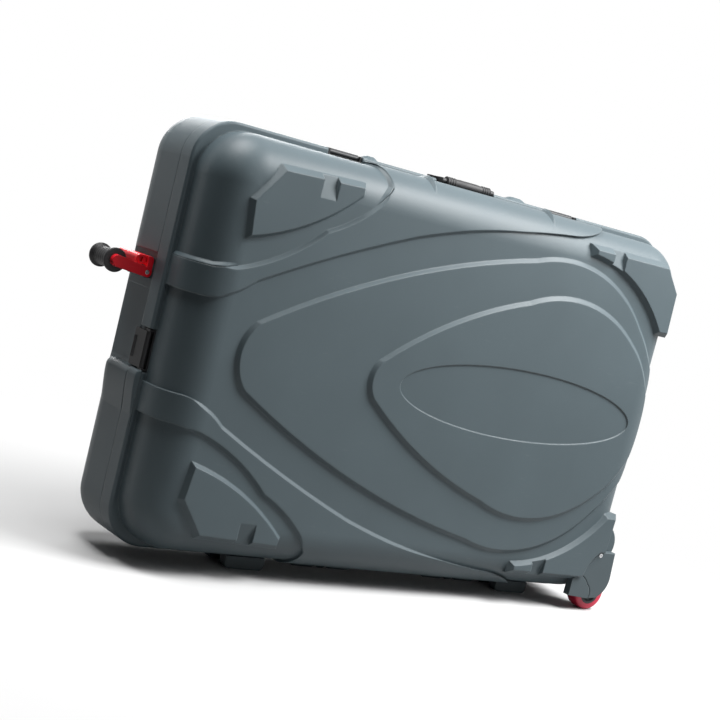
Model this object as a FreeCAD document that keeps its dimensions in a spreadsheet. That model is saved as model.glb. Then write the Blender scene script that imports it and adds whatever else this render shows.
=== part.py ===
import FreeCAD, Part
import Sketcher
import math
import operator
import os

# Hard-shell travel case for a bicycle. Two moulded half shells meet on the plane y = 0, the front
# half towards -Y, and turn on two hinges under the case. X runs along the case from the pull handle
# at -X to the wheels at +X, Z is up, and z = 0 is the floor under the feet and the wheels.

doc = FreeCAD.newDocument("bike_travel_case")

SIZES = (
    # Whole case
    ("case_length", 1180),
    ("case_height", 790),
    ("floor_gap", 25),
    ("parting_gap", 0.6),
    ("overrun", 30),
    ("seat_gap", 0.2),
    ("turn_gap", 0.05),
    ("side_gap", 0.5),
    # Half shells
    ("shell_depth", 145),
    ("shell_wall", 3),
    ("rim_corner", 80),
    ("rim_band", 40),
    ("rim_step", 13),
    ("rim_round", 5),
    ("bulge_corner", 88),
    ("front_round", 74),
    ("rear_round", 70),
    ("throat_depth", 30),
    ("relief", 7),
    ("relief_bevel", 8),
    ("relief_angle", 45),
    ("band_relief", 6),
    ("pad_relief", 10),
    ("pad_bevel", 14),
    ("pad_angle", 35),
    ("notch_width", 34),
    ("notch_drop", 40),
    ("notch_depth", 16),
    ("oval_half_length", 306),
    ("oval_half_height", 71),
    ("oval_depth", 2.2),
    ("bay_depth", 11),
    ("bay_below", 110),
    ("bay_ramp", 45),
    ("bay_above", 137),
    # Seal in the rear rim
    ("seal_width", 3.5),
    ("seal_height", 5),
    # Hinges
    ("hinge_barrel", 8),
    ("hinge_pin_radius", 3.5),
    ("hinge_drop", 11),
    ("hinge_reach", 30),
    ("hinge_lug_width", 60),
    ("hinge_lug_taper", 9),
    ("hinge_lug_gap", 27),
    # Feet
    ("foot_length", 88),
    ("foot_width", 22),
    ("foot_inset", 20),
    ("foot_round", 11),
    # Latches
    ("latch_length", 78),
    ("latch_pocket", 12),
    ("latch_clear", 1),
    ("latch_plate", 2),
    ("latch_cheek", 4),
    ("latch_cheek_length", 15),
    ("latch_pin_radius", 2),
    ("latch_pin_height", 7),
    ("latch_pin_back", 30),
    ("latch_barrel", 4.5),
    ("lever_thickness", 4),
    ("lever_proud", 1),
    ("lever_reach", 18),
    ("hook_start", 10),
    ("hook_thickness", 4),
    ("hook_clear", 0.5),
    ("strike_start", 2),
    ("strike_length", 56),
    ("strike_height", 3),
    ("strike_reach", 22),
    ("end_latch_below", 35),
    ("rivet_radius", 3),
    ("rivet_height", 1.4),
    ("rivet_spread", 20),
    # Carry handle on the top rim
    ("carry_span", 148),
    ("carry_recess_front", 60),
    ("carry_recess_back", 5),
    ("carry_pivot_back", 14),
    ("carry_pivot_drop", 1),
    ("carry_arm", 30),
    ("carry_arm_width", 10),
    ("carry_barrel", 6),
    ("carry_pin_radius", 3),
    ("carry_bracket_width", 8),
    ("carry_bracket_depth", 16),
    ("carry_grip_radius", 10),
    ("carry_core_radius", 5),
    ("carry_rib", 1),
    ("carry_rib_width", 3),
    ("carry_rib_pitch", 6),
    # Pull handle on the left end
    ("pull_height_above_middle", 98),
    ("pull_centre_y", 55),
    ("pull_arm_spread", 80),
    ("pull_arm_thickness", 12),
    ("pull_arm_length", 60),
    ("pull_grip_lift", 9),
    ("pull_barrel", 9),
    ("pull_pin_radius", 4),
    ("pull_pivot_out", 7),
    ("pull_arm_tip", 11),
    ("pull_core_radius", 8),
    ("pull_grip_radius", 17),
    ("pull_flange_radius", 22),
    ("pull_flange_width", 5),
    ("pull_plate_thickness", 4),
    ("pull_plate_height", 56),
    ("pull_plate_width", 92),
    ("pull_ear_thickness", 8),
    ("pull_ear_height", 22),
    ("pull_bridge_out", 24),
    ("pull_bridge_back", 8),
    ("pull_bridge_bottom", 12),
    ("pull_bridge_top", 29),
    ("pull_bridge_round", 7),
    ("pull_post_width", 11),
    ("pull_slot_width", 4),
    ("pull_slot_length", 9),
    ("pull_slot_depth", 5),
    ("pull_slot_pitch", 11),
    # Wheels
    ("wheel_radius", 40),
    ("wheel_width", 34),
    ("wheel_crown", 5),
    ("wheel_from_end", 33),
    ("wheel_from_face", 33),
    ("hub_radius", 26),
    ("hub_recess", 8),
    ("hub_boss", 11),
    ("axle_radius", 5),
    ("bush_radius", 9),
    ("wheel_side_gap", 2.5),
    ("wheel_pocket", 50),
    ("fork_thickness", 5),
    ("fork_height", 57),
    ("fork_width", 54),
    ("cover_thickness", 17),
    ("cover_left", 62),
    ("cover_right", 29),
    ("cover_bottom", 31),
    ("cover_top", 137),
    ("cover_edge_round", 3),
    ("cover_axle_depth", 9),
    ("skid_width", 20),
    ("skid_bottom", 35),
    ("skid_top", 73),
    ("seam_gap", 1),
    ("bolt_head_radius", 4.5),
    ("bolt_head_height", 4),
    ("bolt_socket_radius", 2.3),
    ("arch_radius", 45),
    ("arch_back", 11),
    ("arch_height", 150),
    ("arch_from_face", 17),
    # Inside
    ("liner_from_end", 140),
    ("liner_from_edge", 115),
    ("liner_thickness", 12),
    ("liner_corner", 60),
    ("strap_width", 38),
    ("strap_thickness", 2),
    ("strap_clear", 14),
    ("strap_from_middle", 220),
    ("buckle_width", 50),
    ("buckle_length", 58),
    ("buckle_thickness", 7),
    ("anchor_length", 26),
)

CARRY_RIB_COUNT = 4

# Places along the case, as shares of half its length from the middle.
HINGE_PLACE_SHARES = (-0.132, 0.434)
FOOT_PLACE_SHARES = (-0.475, 0.688)
TOP_LATCH_PLACE_SHARES = (-0.47, 0.47)
NOTCH_PLACE_SHARES = (-0.620, 0.612)
OVAL_PLACE_SHARE = 0.33
CARRY_PLACE_SHARE = 0.024

# Half outlines of the raised leaves, in shares of half the length and half the height of the case.
# A bare point ends a straight run, and a pair of points is an arc through the first to the second.
LEAF_SHARES = (
    (-0.800, 0.0),
    ((-0.789, 0.085), (-0.755, 0.160)),
    ((-0.190, 0.560), (0.257, 0.742)),
    ((0.560, 0.752), (0.805, 0.520)),
    ((0.920, 0.280), (0.962, 0.0)),
)
INNER_LEAF_SHARES = (
    (-0.312, 0.0),
    ((-0.306, 0.050), (-0.287, 0.095)),
    ((0.010, 0.382), (0.263, 0.530)),
    ((0.525, 0.592), (0.776, 0.435)),
    ((0.888, 0.248), (0.930, 0.0)),
)

# Closed outlines of the raised band and the corner pads of the upper half, in the same shares.
BAND_SHARES = (
    (-1.02, 0.225),
    (-1.02, 0.360),
    (-0.930, 0.360),
    ((-0.800, 0.420), (-0.590, 0.630)),
    ((-0.450, 0.765), (-0.376, 0.885)),
    ((-0.385, 0.955), (-0.430, 1.02)),
    (0.640, 1.02),
    ((0.530, 0.940), (0.420, 0.900)),
    ((-0.020, 0.790), (-0.250, 0.690)),
    ((-0.560, 0.495), (-0.785, 0.330)),
    ((-0.860, 0.255), (-0.930, 0.225)),
    (-1.02, 0.225),
)
HANDLE_END_PAD_SHARES = (
    (-0.865, 0.500),
    (-0.880, 0.690),
    (-0.790, 0.865),
    (-0.485, 0.880),
    (-0.480, 0.815),
    ((-0.630, 0.640), (-0.865, 0.500)),
)
WHEEL_END_PAD_SHARES = (
    (0.485, 0.815),
    (0.485, 0.885),
    (0.860, 0.885),
    (0.938, 0.750),
    (0.945, 0.500),
    (0.880, 0.500),
    ((0.740, 0.690), (0.485, 0.815)),
)

# The wheel cover's outline, in shares of its own width and height. The last two arcs are its
# wavy seam with the skid block.
COVER_TOP_SHARES = ((0.02, 0.48), ((0.155, 0.80), (0.395, 1.0)))
COVER_END_SHARES = ((0.955, 1.0), (1.0, 0.5), ((0.91, 0.19), (0.67, 0.02)), (0.43, 0.0))
COVER_SEAM_SHARES = (((0.43, 0.15), (0.30, 0.30)), ((0.175, 0.415), (0.02, 0.48)))
BOLT_PLACE_SHARE = (0.495, 0.925)

sheet = doc.addObject("Spreadsheet::Sheet", "sizes")
for row, (alias, value) in enumerate(SIZES, start=1):
    sheet.set(f"A{row}", alias)
    sheet.set(f"B{row}", str(value))
    sheet.setAlias(f"B{row}", alias)
doc.recompute()

vec = FreeCAD.Vector
FRONT, REAR = -1, 1
SIDES = (("front", FRONT), ("rear", REAR))
DIAGONAL = math.sqrt(0.5)
FULL_TURN = 360
QUARTER_TURN = 90
MARKS = {"+": operator.add, "-": operator.sub, "*": operator.mul, "/": operator.truediv}


class Size:
    """A length, with the text that ties it to the sheet."""

    def __init__(self, text, value):
        self.text = text
        self.value = value

    def __float__(self):
        return self.value

    def __add__(self, other):
        return joined(self, "+", other)

    def __radd__(self, other):
        return joined(other, "+", self)

    def __sub__(self, other):
        return joined(self, "-", other)

    def __rsub__(self, other):
        return joined(other, "-", self)

    def __mul__(self, other):
        return joined(self, "*", other)

    def __rmul__(self, other):
        return joined(other, "*", self)

    def __truediv__(self, other):
        return joined(self, "/", other)

    def __neg__(self):
        return joined(0, "-", self)

    def __lt__(self, other):
        return self.value < float(other)


def size(length):
    """A plain number as a size, or a size as it is."""
    if isinstance(length, Size):
        return length
    return Size(f"({length})", float(length))


def joined(left, mark, right):
    """Two sizes put together by a sign of arithmetic."""
    left, right = size(left), size(right)
    return Size(f"({left.text} {mark} {right.text})", MARKS[mark](left.value, right.value))


class SheetSizes:
    """Reads a size from the sheet by its alias."""

    def __getattr__(self, alias):
        return Size(f"sizes.{alias}", float(sheet.get(alias)))


s = SheetSizes()
half_length = s.case_length / 2
half_height = s.case_height / 2
middle_z = s.floor_gap + half_height
rim_top = s.floor_gap + s.case_height
throat_inset = s.rim_step + s.shell_wall
leaf_top = s.shell_depth + s.relief
deepest = leaf_top + s.relief
far_y = deepest + s.overrun

# The pieces are drawn about the middle of the case and stand about the middle of its whole length,
# from the grip of the pull handle to the far side of the wheels.
handle_reach = half_length + s.pull_pivot_out + s.pull_arm_length + s.pull_flange_radius
wheel_reach = half_length - s.wheel_from_end + s.wheel_radius
middle_shift = (handle_reach - wheel_reach) / 2

nodes = []


def finished(piece):
    """Marks an object as a finished piece of the case, and moves it to its place in the whole."""
    place = dict(piece.ExpressionEngine).get(".Placement.Base.x", "0")
    piece.setExpression("Placement.Base.x", f"{place} + {middle_shift.text}")
    nodes.append(piece)
    return piece


def bind(piece, **lengths):
    """Ties properties of an object to the sheet."""
    for name, length in lengths.items():
        piece.setExpression(name, size(length).text)
    return piece


def seat(piece, x, y, z, turn=None):
    """Puts an object at a place that follows the sheet."""
    if turn is not None:
        piece.Placement.Rotation = turn
    for axis, place in zip("xyz", (x, y, z)):
        piece.setExpression(f"Placement.Base.{axis}", size(place).text)
    return piece


def block(label, x_range, y_range, z_range):
    """A straight block between two corners."""
    piece = doc.addObject("Part::Box", label)
    (x_low, x_high), (y_low, y_high), (z_low, z_high) = (sorted(pair) for pair in (x_range, y_range, z_range))
    bind(piece, Length=x_high - x_low, Width=y_high - y_low, Height=z_high - z_low)
    return seat(piece, x_low, y_low, z_low)


ALONG = {
    "X": FreeCAD.Rotation(vec(0, 1, 0), QUARTER_TURN),
    "Y": FreeCAD.Rotation(vec(1, 0, 0), -QUARTER_TURN),
    "Z": FreeCAD.Rotation(),
}


def bar(label, axis, start, radius, length):
    """A round bar from a point along an axis."""
    piece = doc.addObject("Part::Cylinder", label)
    bind(piece, Radius=radius, Height=length)
    return seat(piece, *start, ALONG[axis])


def fuse(label, *pieces):
    """Pieces joined into one solid."""
    piece = doc.addObject("Part::MultiFuse", label)
    piece.Shapes = pieces
    return piece


def cut(label, base, *tools):
    """A piece with others taken out of it."""
    piece = doc.addObject("Part::Cut", label)
    piece.Base = base
    piece.Tool = tools[0] if len(tools) == 1 else fuse(f"{label}_tools", *tools)
    return piece


def common(label, base, tool):
    """What two pieces share."""
    piece = doc.addObject("Part::Common", label)
    piece.Base = base
    piece.Tool = tool
    return piece


def group(label, *pieces):
    """Separate solids kept as one named object."""
    piece = doc.addObject("Part::Compound", label)
    piece.Links = pieces
    return piece


NORMALS = {"XY": 1, "XZ": -1, "YZ": 1}


def sketch_on(body, plane, offset):
    """An empty sketch on one of a body's own planes, or parallel to it."""
    sketch = body.newObject("Sketcher::SketchObject", f"{body.Name}_outline")
    origin_plane = next(item for item in body.Origin.OriginFeatures if item.Role == f"{plane}_Plane")
    sketch.AttachmentSupport = [(origin_plane, "")]
    sketch.MapMode = "FlatFace"
    sketch.setExpression("AttachmentOffset.Base.z", size(NORMALS[plane] * offset).text)
    return sketch


def flat(point):
    """A point of a sketch."""
    return vec(float(point[0]), float(point[1]), 0)


def tie(sketch, index, position, point):
    """Ties a point of a sketch to the sheet, along and across."""
    for kind, place in zip(("DistanceX", "DistanceY"), point):
        number = sketch.addConstraint(Sketcher.Constraint(kind, -1, 1, index, position, float(place)))
        sketch.setExpression(f"Constraints[{number}]", size(place).text)


def trace(sketch, steps):
    """Draws a closed outline of lines and arcs, with each of its points tied to the sheet."""
    drawn = []
    last = steps[0]
    for step in steps[1:]:
        bent = isinstance(step[0], tuple)
        end = step[1] if bent else step
        if bent:
            curve = Part.Arc(flat(last), flat(step[0]), flat(end))
        else:
            curve = Part.LineSegment(flat(last), flat(end))
        index = sketch.addGeometry(curve, False)
        first = sketch.getPoint(index, 1)
        forward = first.distanceToPoint(flat(last)) < first.distanceToPoint(flat(end))
        drawn.append((index, 1, 2) if forward else (index, 2, 1))
        tie(sketch, index, drawn[-1][1], last)
        if bent:
            via = sketch.addGeometry(Part.Point(flat(step[0])), True)
            tie(sketch, via, 1, step[0])
            sketch.addConstraint(Sketcher.Constraint("PointOnObject", via, 1, index))
        last = end
    for (index, _, tail), (following, head, _) in zip(drawn, drawn[1:] + drawn[:1]):
        sketch.addConstraint(Sketcher.Constraint("Coincident", index, tail, following, head))


def polygon(*points):
    """A closed outline with straight sides."""
    return points + points[:1]


def rounded(x_range, z_range, corner):
    """A closed rectangle with round corners."""
    (x_low, x_high), (z_low, z_high) = x_range, z_range
    turns = ((1, 0), (0, 1), (-1, 0), (0, -1), (1, 0))
    steps = []
    for (head_x, head_z), (tail_x, tail_z) in zip(turns, turns[1:]):
        centre_x = x_high - corner if head_x + tail_x > 0 else x_low + corner
        centre_z = z_high - corner if head_z + tail_z > 0 else z_low + corner
        steps.append((centre_x + corner * head_x, centre_z + corner * head_z))
        half_turn = corner * DIAGONAL
        via = (centre_x + half_turn * (head_x + tail_x), centre_z + half_turn * (head_z + tail_z))
        steps.append((via, (centre_x + corner * tail_x, centre_z + corner * tail_z)))
    return tuple(steps) + tuple(steps[:1])


def raise_pad(body, plane, start, end, outlines, taper=None):
    """Draws outlines out from one place to another, drawn in as they rise where a taper is given."""
    sketch = sketch_on(body, plane, start)
    for steps in outlines:
        trace(sketch, steps)
    feature = body.newObject("PartDesign::Pad", f"{body.Name}_pad")
    feature.Profile = sketch
    run = NORMALS[plane] * (end - start)
    feature.Reversed = run < 0
    bind(feature, Length=-run if run < 0 else run)
    if taper is not None:
        bind(feature, TaperAngle=-taper)
    doc.recompute()


def pad(label, plane, start, end, *outlines):
    """A body that is drawn straight out of its outlines."""
    body = doc.addObject("PartDesign::Body", label)
    raise_pad(body, plane, start, end, outlines)
    return body


def turned(label, axis, steps):
    """A body turned about an axis of the sketch that holds half of its section."""
    body = doc.addObject("PartDesign::Body", label)
    sketch = sketch_on(body, "XY", 0)
    trace(sketch, steps)
    feature = body.newObject("PartDesign::Revolution", f"{label}_turn")
    feature.Profile = sketch
    feature.ReferenceAxis = (sketch, [axis])
    feature.Angle = FULL_TURN
    doc.recompute()
    return body


def round_face(body, y, radius):
    """Rounds all the edges of the flat face that a body has at a place along Y."""
    for number, face in enumerate(body.Tip.Shape.Faces, start=1):
        reach = face.BoundBox
        if abs(reach.YMin - float(y)) < float(s.turn_gap) and abs(reach.YMax - float(y)) < float(s.turn_gap):
            name = f"Face{number}"
    sharp = body.Tip
    feature = body.newObject("PartDesign::Fillet", f"{body.Name}_round")
    feature.Base = (sharp, [name])
    bind(feature, Radius=radius)
    doc.recompute()
    return body


def slab(label, half_x, half_z, corner, start, end):
    """A rounded rectangle about the middle of the case, drawn out from one y to another."""
    outline = rounded((-half_x, half_x), (middle_z - half_z, middle_z + half_z), corner)
    return pad(label, "XZ", start, end, outline)


def tub(label, half_x, half_z, corner, start, end, edge_round):
    """A slab whose far edge is rounded all round."""
    return round_face(slab(label, half_x, half_z, corner, start, end), end, edge_round)


def placed_steps(shares, place):
    """The steps of an outline written in shares, each point put in place by a function."""
    return tuple(tuple(place(point) for point in share) if isinstance(share[0], tuple) else place(share)
                 for share in shares)


def share_steps(shares, side):
    """An outline in shares of the case, on its upper half for side 1 and its lower half for side -1."""
    def place(share):
        return share[0] * half_length, middle_z + side * share[1] * half_height

    return placed_steps(shares, place)


def leaf_steps(shares, inset):
    """A closed leaf, drawn in by an inset: out along its upper edge and back along the same edge mirrored."""
    tip, tail = shares[0][0], shares[-1][1][0]
    tallest = max(end[1] for _, end in shares[1:])
    middle = (tip + tail) / 2
    x_scale = half_length - 2 * inset / (tail - tip)
    z_scale = half_height - inset / tallest

    def place(share, side):
        return middle * half_length + (share[0] - middle) * x_scale, middle_z + side * share[1] * z_scale

    upper = placed_steps(shares, lambda share: place(share, 1))
    lower = placed_steps(shares, lambda share: place(share, -1))
    ends = lower[:1] + tuple(end for _, end in lower[1:-1])
    return upper + tuple((via, end) for (via, _), end in zip(reversed(lower[1:]), reversed(ends)))


def relief(label, steps, facing, shoulder, top, taper):
    """A raised panel: straight sides up to its shoulder, then sides drawn in to its top."""
    body = pad(label, "XZ", facing * s.rim_band, facing * shoulder, steps)
    raise_pad(body, "XZ", facing * shoulder, facing * top, [steps], taper)
    return body


def leaf_relief(label, shares, facing, shoulder, top):
    """A raised leaf: straight sides up to its shoulder, then a bevel to the smaller leaf of its top."""
    body = pad(label, "XZ", facing * s.rim_band, facing * shoulder, leaf_steps(shares, size(0)))
    sections = []
    for level, inset in ((shoulder, size(0)), (top, s.relief_bevel)):
        sketch = sketch_on(body, "XZ", facing * level)
        trace(sketch, leaf_steps(shares, inset))
        sections.append(sketch)
    bevel = body.newObject("PartDesign::AdditiveLoft", f"{label}_bevel")
    bevel.Profile = sections[0]
    bevel.Sections = sections[1:]
    bevel.Ruled = True
    doc.recompute()
    return body


# Half shells. Each is a deep tray: a flat rim, and a body with a large rounding to its face, on which
# bands, leaves and flat corner pads stand up with bevelled edges. A bay for the pull handle and the
# pockets for the latches, the carry handle and the wheels are pressed into it, with the wall behind them.

axle_x = half_length - s.wheel_from_end
axle_z = s.wheel_radius
wheel_from_parting = s.shell_depth - s.wheel_from_face
fork_inner = wheel_from_parting - s.wheel_width / 2 - s.wheel_side_gap
fork_back = fork_inner - s.fork_thickness
cover_inner = wheel_from_parting + s.wheel_width / 2 + s.wheel_side_gap
cover_outer = cover_inner + s.cover_thickness
pocket_back = axle_x - s.wheel_pocket
pocket_top = axle_z + s.fork_height
cover_left_x = axle_x - s.cover_left
skid_left_x = cover_left_x - s.skid_width
far_x = half_length + s.overrun
carry_x = CARRY_PLACE_SHARE * half_length


def cover_place(share, shift=0, lift=0):
    """A point of the wheel cover's outline, moved towards the handle end and up."""
    x = cover_left_x + share[0] * (s.cover_left + s.cover_right) - shift
    return x, s.cover_bottom + share[1] * (s.cover_top - s.cover_bottom) + lift


def cover_steps(shares, shift=0, lift=0):
    """Steps of the wheel cover's outline."""
    return placed_steps(shares, lambda share: cover_place(share, shift, lift))


def wheel_space(label, facing, wall):
    """The room for the wheel, its cover and the skid, grown by a wall where the inside stays clear."""
    gap = s.seat_gap + wall
    wheel_room = block(f"{label}_wheel_room", (pocket_back - gap, far_x),
                       (facing * (fork_back - gap), facing * far_y), (0, pocket_top + gap))
    corner = skid_left_x - gap
    outline = ((corner, size(0)), (corner, s.skid_top + gap))
    outline += cover_steps(COVER_TOP_SHARES, gap, gap)
    outline += ((far_x, s.cover_top + gap), (far_x, size(0)), (corner, size(0)))
    cover_room = pad(f"{label}_cover_room", "XZ", facing * (cover_inner - wall), facing * far_y, outline)
    return fuse(label, wheel_room, cover_room)


def wheel_arch(label, facing):
    """The round swelling of the shell over the wheel."""
    centre_x = axle_x - s.arch_back
    low, high = sorted((facing * s.rim_band / 2, facing * (s.shell_depth - s.arch_from_face)))
    swelling = bar(f"{label}_swelling", "Y", (centre_x, low, s.arch_height), s.arch_radius, high - low)
    above = block(f"{label}_above", (centre_x, far_x), (low, high), (axle_z, s.arch_height + s.arch_radius))
    return common(label, swelling, above)


def handle_bay(label, wall):
    """The shallow bay across the handle end of the rear half, which runs out in a ramp at its foot."""
    floor_x = s.bay_depth + wall - half_length
    low, high = middle_z - s.bay_below - wall, middle_z + s.bay_above + wall
    return pad(label, "XZ", -s.overrun, far_y, polygon(
        (-far_x, low),
        (wall - half_length, low),
        (floor_x, low + s.bay_ramp),
        (floor_x, high),
        (-far_x, high),
    ))


top_latches = [(name, (share * half_length, 0, rim_top, FreeCAD.Rotation()))
               for name, share in zip(("top_left", "top_right"), TOP_LATCH_PLACE_SHARES)]
end_latches = [(name, (end * half_length, 0, middle_z - s.end_latch_below,
                       FreeCAD.Rotation(vec(0, 1, 0), end * QUARTER_TURN)))
               for name, end in (("left_end", -1), ("right_end", 1))]
latch_places = top_latches + end_latches


def latch_spaces(label):
    """The four cut-outs across the rim that hold the latches and their strikes."""
    half_pocket = s.latch_length / 2 + s.latch_clear
    spaces = []
    for name, place in latch_places:
        space = block(f"{name}_pocket", (-half_pocket, half_pocket),
                      (-s.rim_band - s.overrun, s.strike_reach), (-s.latch_pocket, s.overrun))
        spaces.append(seat(group(f"{label}_{name}", space), *place))
    return spaces


def front_body(label, grown):
    """The front half's deep body, grown outwards by the height of a relief."""
    inset = s.rim_step - grown
    return tub(label, half_length - inset, half_height - inset, s.bulge_corner + grown,
               -s.rim_band / 2, -s.shell_depth - grown, s.front_round + grown)


def rear_body(label, grown):
    """The rear half's body, grown outwards by the height of a relief."""
    return tub(label, half_length + grown, half_height + grown, s.rim_corner + grown,
               s.parting_gap / 2, s.shell_depth + grown, s.rear_round + grown)


def leaves(name, facing, body):
    """The two nested leaves, each a step higher than what it stands on."""
    pieces = []
    for label, shares, shoulder, top in (("leaf", LEAF_SHARES, s.shell_depth, leaf_top),
                                         ("inner_leaf", INNER_LEAF_SHARES, leaf_top, deepest)):
        skin = body(f"{name}_{label}_skin", top - s.shell_depth)
        space = leaf_relief(f"{name}_{label}_space", shares, facing, shoulder, top)
        pieces.append(common(f"{name}_{label}", skin, space))
    return pieces


def leaf_hollows(name, facing, body):
    """The inside of the two leaves, a wall's thickness behind their faces."""
    pieces = []
    for label, shares, top in (("leaf", LEAF_SHARES, leaf_top),
                               ("inner_leaf", INNER_LEAF_SHARES, deepest - s.oval_depth)):
        skin = body(f"{name}_{label}_back", top - s.shell_wall - s.shell_depth)
        outline = leaf_steps(shares, s.relief_bevel + s.shell_wall)
        space = pad(f"{name}_{label}_room", "XZ", facing * s.rim_band, facing * far_y, outline)
        pieces.append(common(f"{name}_{label}_hollow", skin, space))
    return pieces


def bands(name, facing, body):
    """The raised bands that run from the handle end over the top and the bottom."""
    pieces = []
    skin = body(f"{name}_band_skin", s.band_relief)
    top = s.shell_depth + s.band_relief
    for label, side in (("upper", 1), ("lower", -1)):
        space = relief(f"{name}_{label}_band_space", share_steps(BAND_SHARES, side), facing,
                       s.shell_depth, top, s.relief_angle)
        pieces.append(common(f"{name}_{label}_band", skin, space))
    return pieces


def corner_pads(name, facing):
    """The four flat corner pads, each with a sloping notch in its outer edge."""
    pieces = []
    top = s.shell_depth + s.pad_relief
    outer_z = HANDLE_END_PAD_SHARES[2][1] * half_height + s.notch_depth
    for end, shares, place in zip(("handle_end", "wheel_end"), (HANDLE_END_PAD_SHARES, WHEEL_END_PAD_SHARES),
                                  NOTCH_PLACE_SHARES):
        for level, side in (("upper", 1), ("lower", -1)):
            label = f"{name}_{level}_{end}"
            boss = relief(f"{label}_boss", share_steps(shares, side), facing,
                          top - s.pad_bevel, top, s.pad_angle)
            notch_left = place * half_length - s.notch_width / 2
            slope = polygon(
                (facing * top, middle_z + side * (outer_z - s.notch_depth - s.notch_drop)),
                (facing * (top - s.notch_depth), middle_z + side * outer_z),
                (facing * (top + s.overrun), middle_z + side * outer_z),
            )
            notch = pad(f"{label}_notch", "YZ", notch_left, notch_left + s.notch_width, slope)
            pieces.append(cut(f"{label}_pad", boss, notch))
    return pieces


def oval_place():
    """The shallow oval in the inner leaf, left bare."""
    oval = doc.addObject("Part::Ellipse", "oval_edge")
    bind(oval, MajorRadius=s.oval_half_length, MinorRadius=s.oval_half_height)
    seat(oval, OVAL_PLACE_SHARE * half_length, s.oval_depth - deepest, middle_z,
         FreeCAD.Rotation(vec(1, 0, 0), QUARTER_TURN))
    space = doc.addObject("Part::Extrusion", "oval_space")
    space.Base = oval
    space.DirMode = "Custom"
    space.Dir = vec(0, FRONT, 0)
    space.Solid = True
    bind(space, LengthFwd=s.overrun)
    return space


def front_shell():
    rim = tub("front_rim", half_length, half_height, s.rim_corner,
              -s.parting_gap / 2, -s.rim_band, s.rim_round)
    solid = fuse("front_outside", rim, front_body("front_tray", size(0)), wheel_arch("front_arch", FRONT),
                 *bands("front", FRONT, front_body), *leaves("front", FRONT, front_body),
                 *corner_pads("front", FRONT))
    cavity = tub("front_cavity", half_length - throat_inset, half_height - throat_inset,
                 s.bulge_corner - s.shell_wall, size(0), s.shell_wall - s.shell_depth,
                 s.front_round - s.shell_wall)
    inside = cut("front_inside", fuse("front_room", cavity, *leaf_hollows("front", FRONT, front_body)),
                 wheel_space("front_wheel_wall", FRONT, s.shell_wall))
    half_span = s.carry_span / 2
    carry_recess = block("carry_recess", (carry_x - half_span, carry_x + half_span),
                         (-s.carry_recess_front, -s.carry_recess_back),
                         (rim_top - s.rim_step, rim_top + s.overrun))
    return cut("front_shell", solid, inside, wheel_space("front_wheel_space", FRONT, 0),
               *latch_spaces("front"), carry_recess, oval_place())


def rear_shell():
    solid = fuse("rear_outside", rear_body("rear_tray", size(0)), wheel_arch("rear_arch", REAR),
                 *leaves("rear", REAR, rear_body), *corner_pads("rear", REAR))
    throat = slab("rear_throat", half_length - throat_inset, half_height - throat_inset,
                  s.bulge_corner - s.shell_wall, size(0), s.throat_depth + s.overrun)
    chamber = tub("rear_chamber", half_length - s.shell_wall, half_height - s.shell_wall,
                  s.rim_corner - s.shell_wall, s.throat_depth, s.shell_depth - s.shell_wall,
                  s.rear_round - s.shell_wall)
    inside = cut("rear_inside", fuse("rear_room", throat, chamber, *leaf_hollows("rear", REAR, rear_body)),
                 wheel_space("rear_wheel_wall", REAR, s.shell_wall),
                 handle_bay("handle_bay_wall", s.shell_wall))
    rabbet_inset = throat_inset - s.seal_width
    rabbet = slab("seal_rabbet", half_length - rabbet_inset, half_height - rabbet_inset,
                  s.bulge_corner - s.shell_wall + s.seal_width, size(0), s.seal_height)
    return cut("rear_shell", solid, inside, rabbet, wheel_space("rear_wheel_space", REAR, 0),
               *latch_spaces("rear"), handle_bay("handle_bay", 0))


finished(front_shell())
finished(rear_shell())


# Rim seal. A rubber strip lies in a rabbet round the inner edge of the rear rim.


def rim_seal():
    outlines = []
    for grown in (s.seal_width - s.seat_gap, size(0)):
        half_x, half_z = half_length - throat_inset + grown, half_height - throat_inset + grown
        corner = s.bulge_corner - s.shell_wall + grown
        outlines.append(rounded((-half_x, half_x), (middle_z - half_z, middle_z + half_z), corner))
    return pad("rim_seal", "XZ", s.parting_gap / 2, s.seal_height, *outlines)


finished(rim_seal())


# Hinges. Two tapered lugs on the front half straddle one lug of the rear half, on a steel pin.

hinge_z = s.floor_gap - s.hinge_drop
hinge_bottom = hinge_z - s.hinge_barrel


def hinge_lug(label, centre_x, width, facing, bore_radius):
    """A lug under the rim with a round barrel about the hinge line, narrower at its foot."""
    left, right = centre_x - width / 2, centre_x + width / 2
    lip = facing * s.parting_gap / 2
    barrel_edge = s.hinge_barrel * DIAGONAL
    web = pad(f"{label}_web", "YZ", left, right, polygon(
        (facing * s.hinge_reach, s.floor_gap),
        (lip, s.floor_gap),
        (lip, hinge_z),
        (facing * barrel_edge, hinge_z - barrel_edge),
    ))
    barrel = bar(f"{label}_barrel", "X", (left, 0, hinge_z), s.hinge_barrel, width)
    taper = pad(f"{label}_taper", "XZ", -s.hinge_reach, s.hinge_reach, polygon(
        (left, s.floor_gap),
        (right, s.floor_gap),
        (right, hinge_z),
        (right - s.hinge_lug_taper, hinge_bottom),
        (left + s.hinge_lug_taper, hinge_bottom),
        (left, hinge_z),
    ))
    bore = bar(f"{label}_bore", "X", (left, 0, hinge_z), bore_radius, width)
    return cut(label, common(f"{label}_blank", fuse(f"{label}_body", web, barrel), taper), bore)


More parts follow.
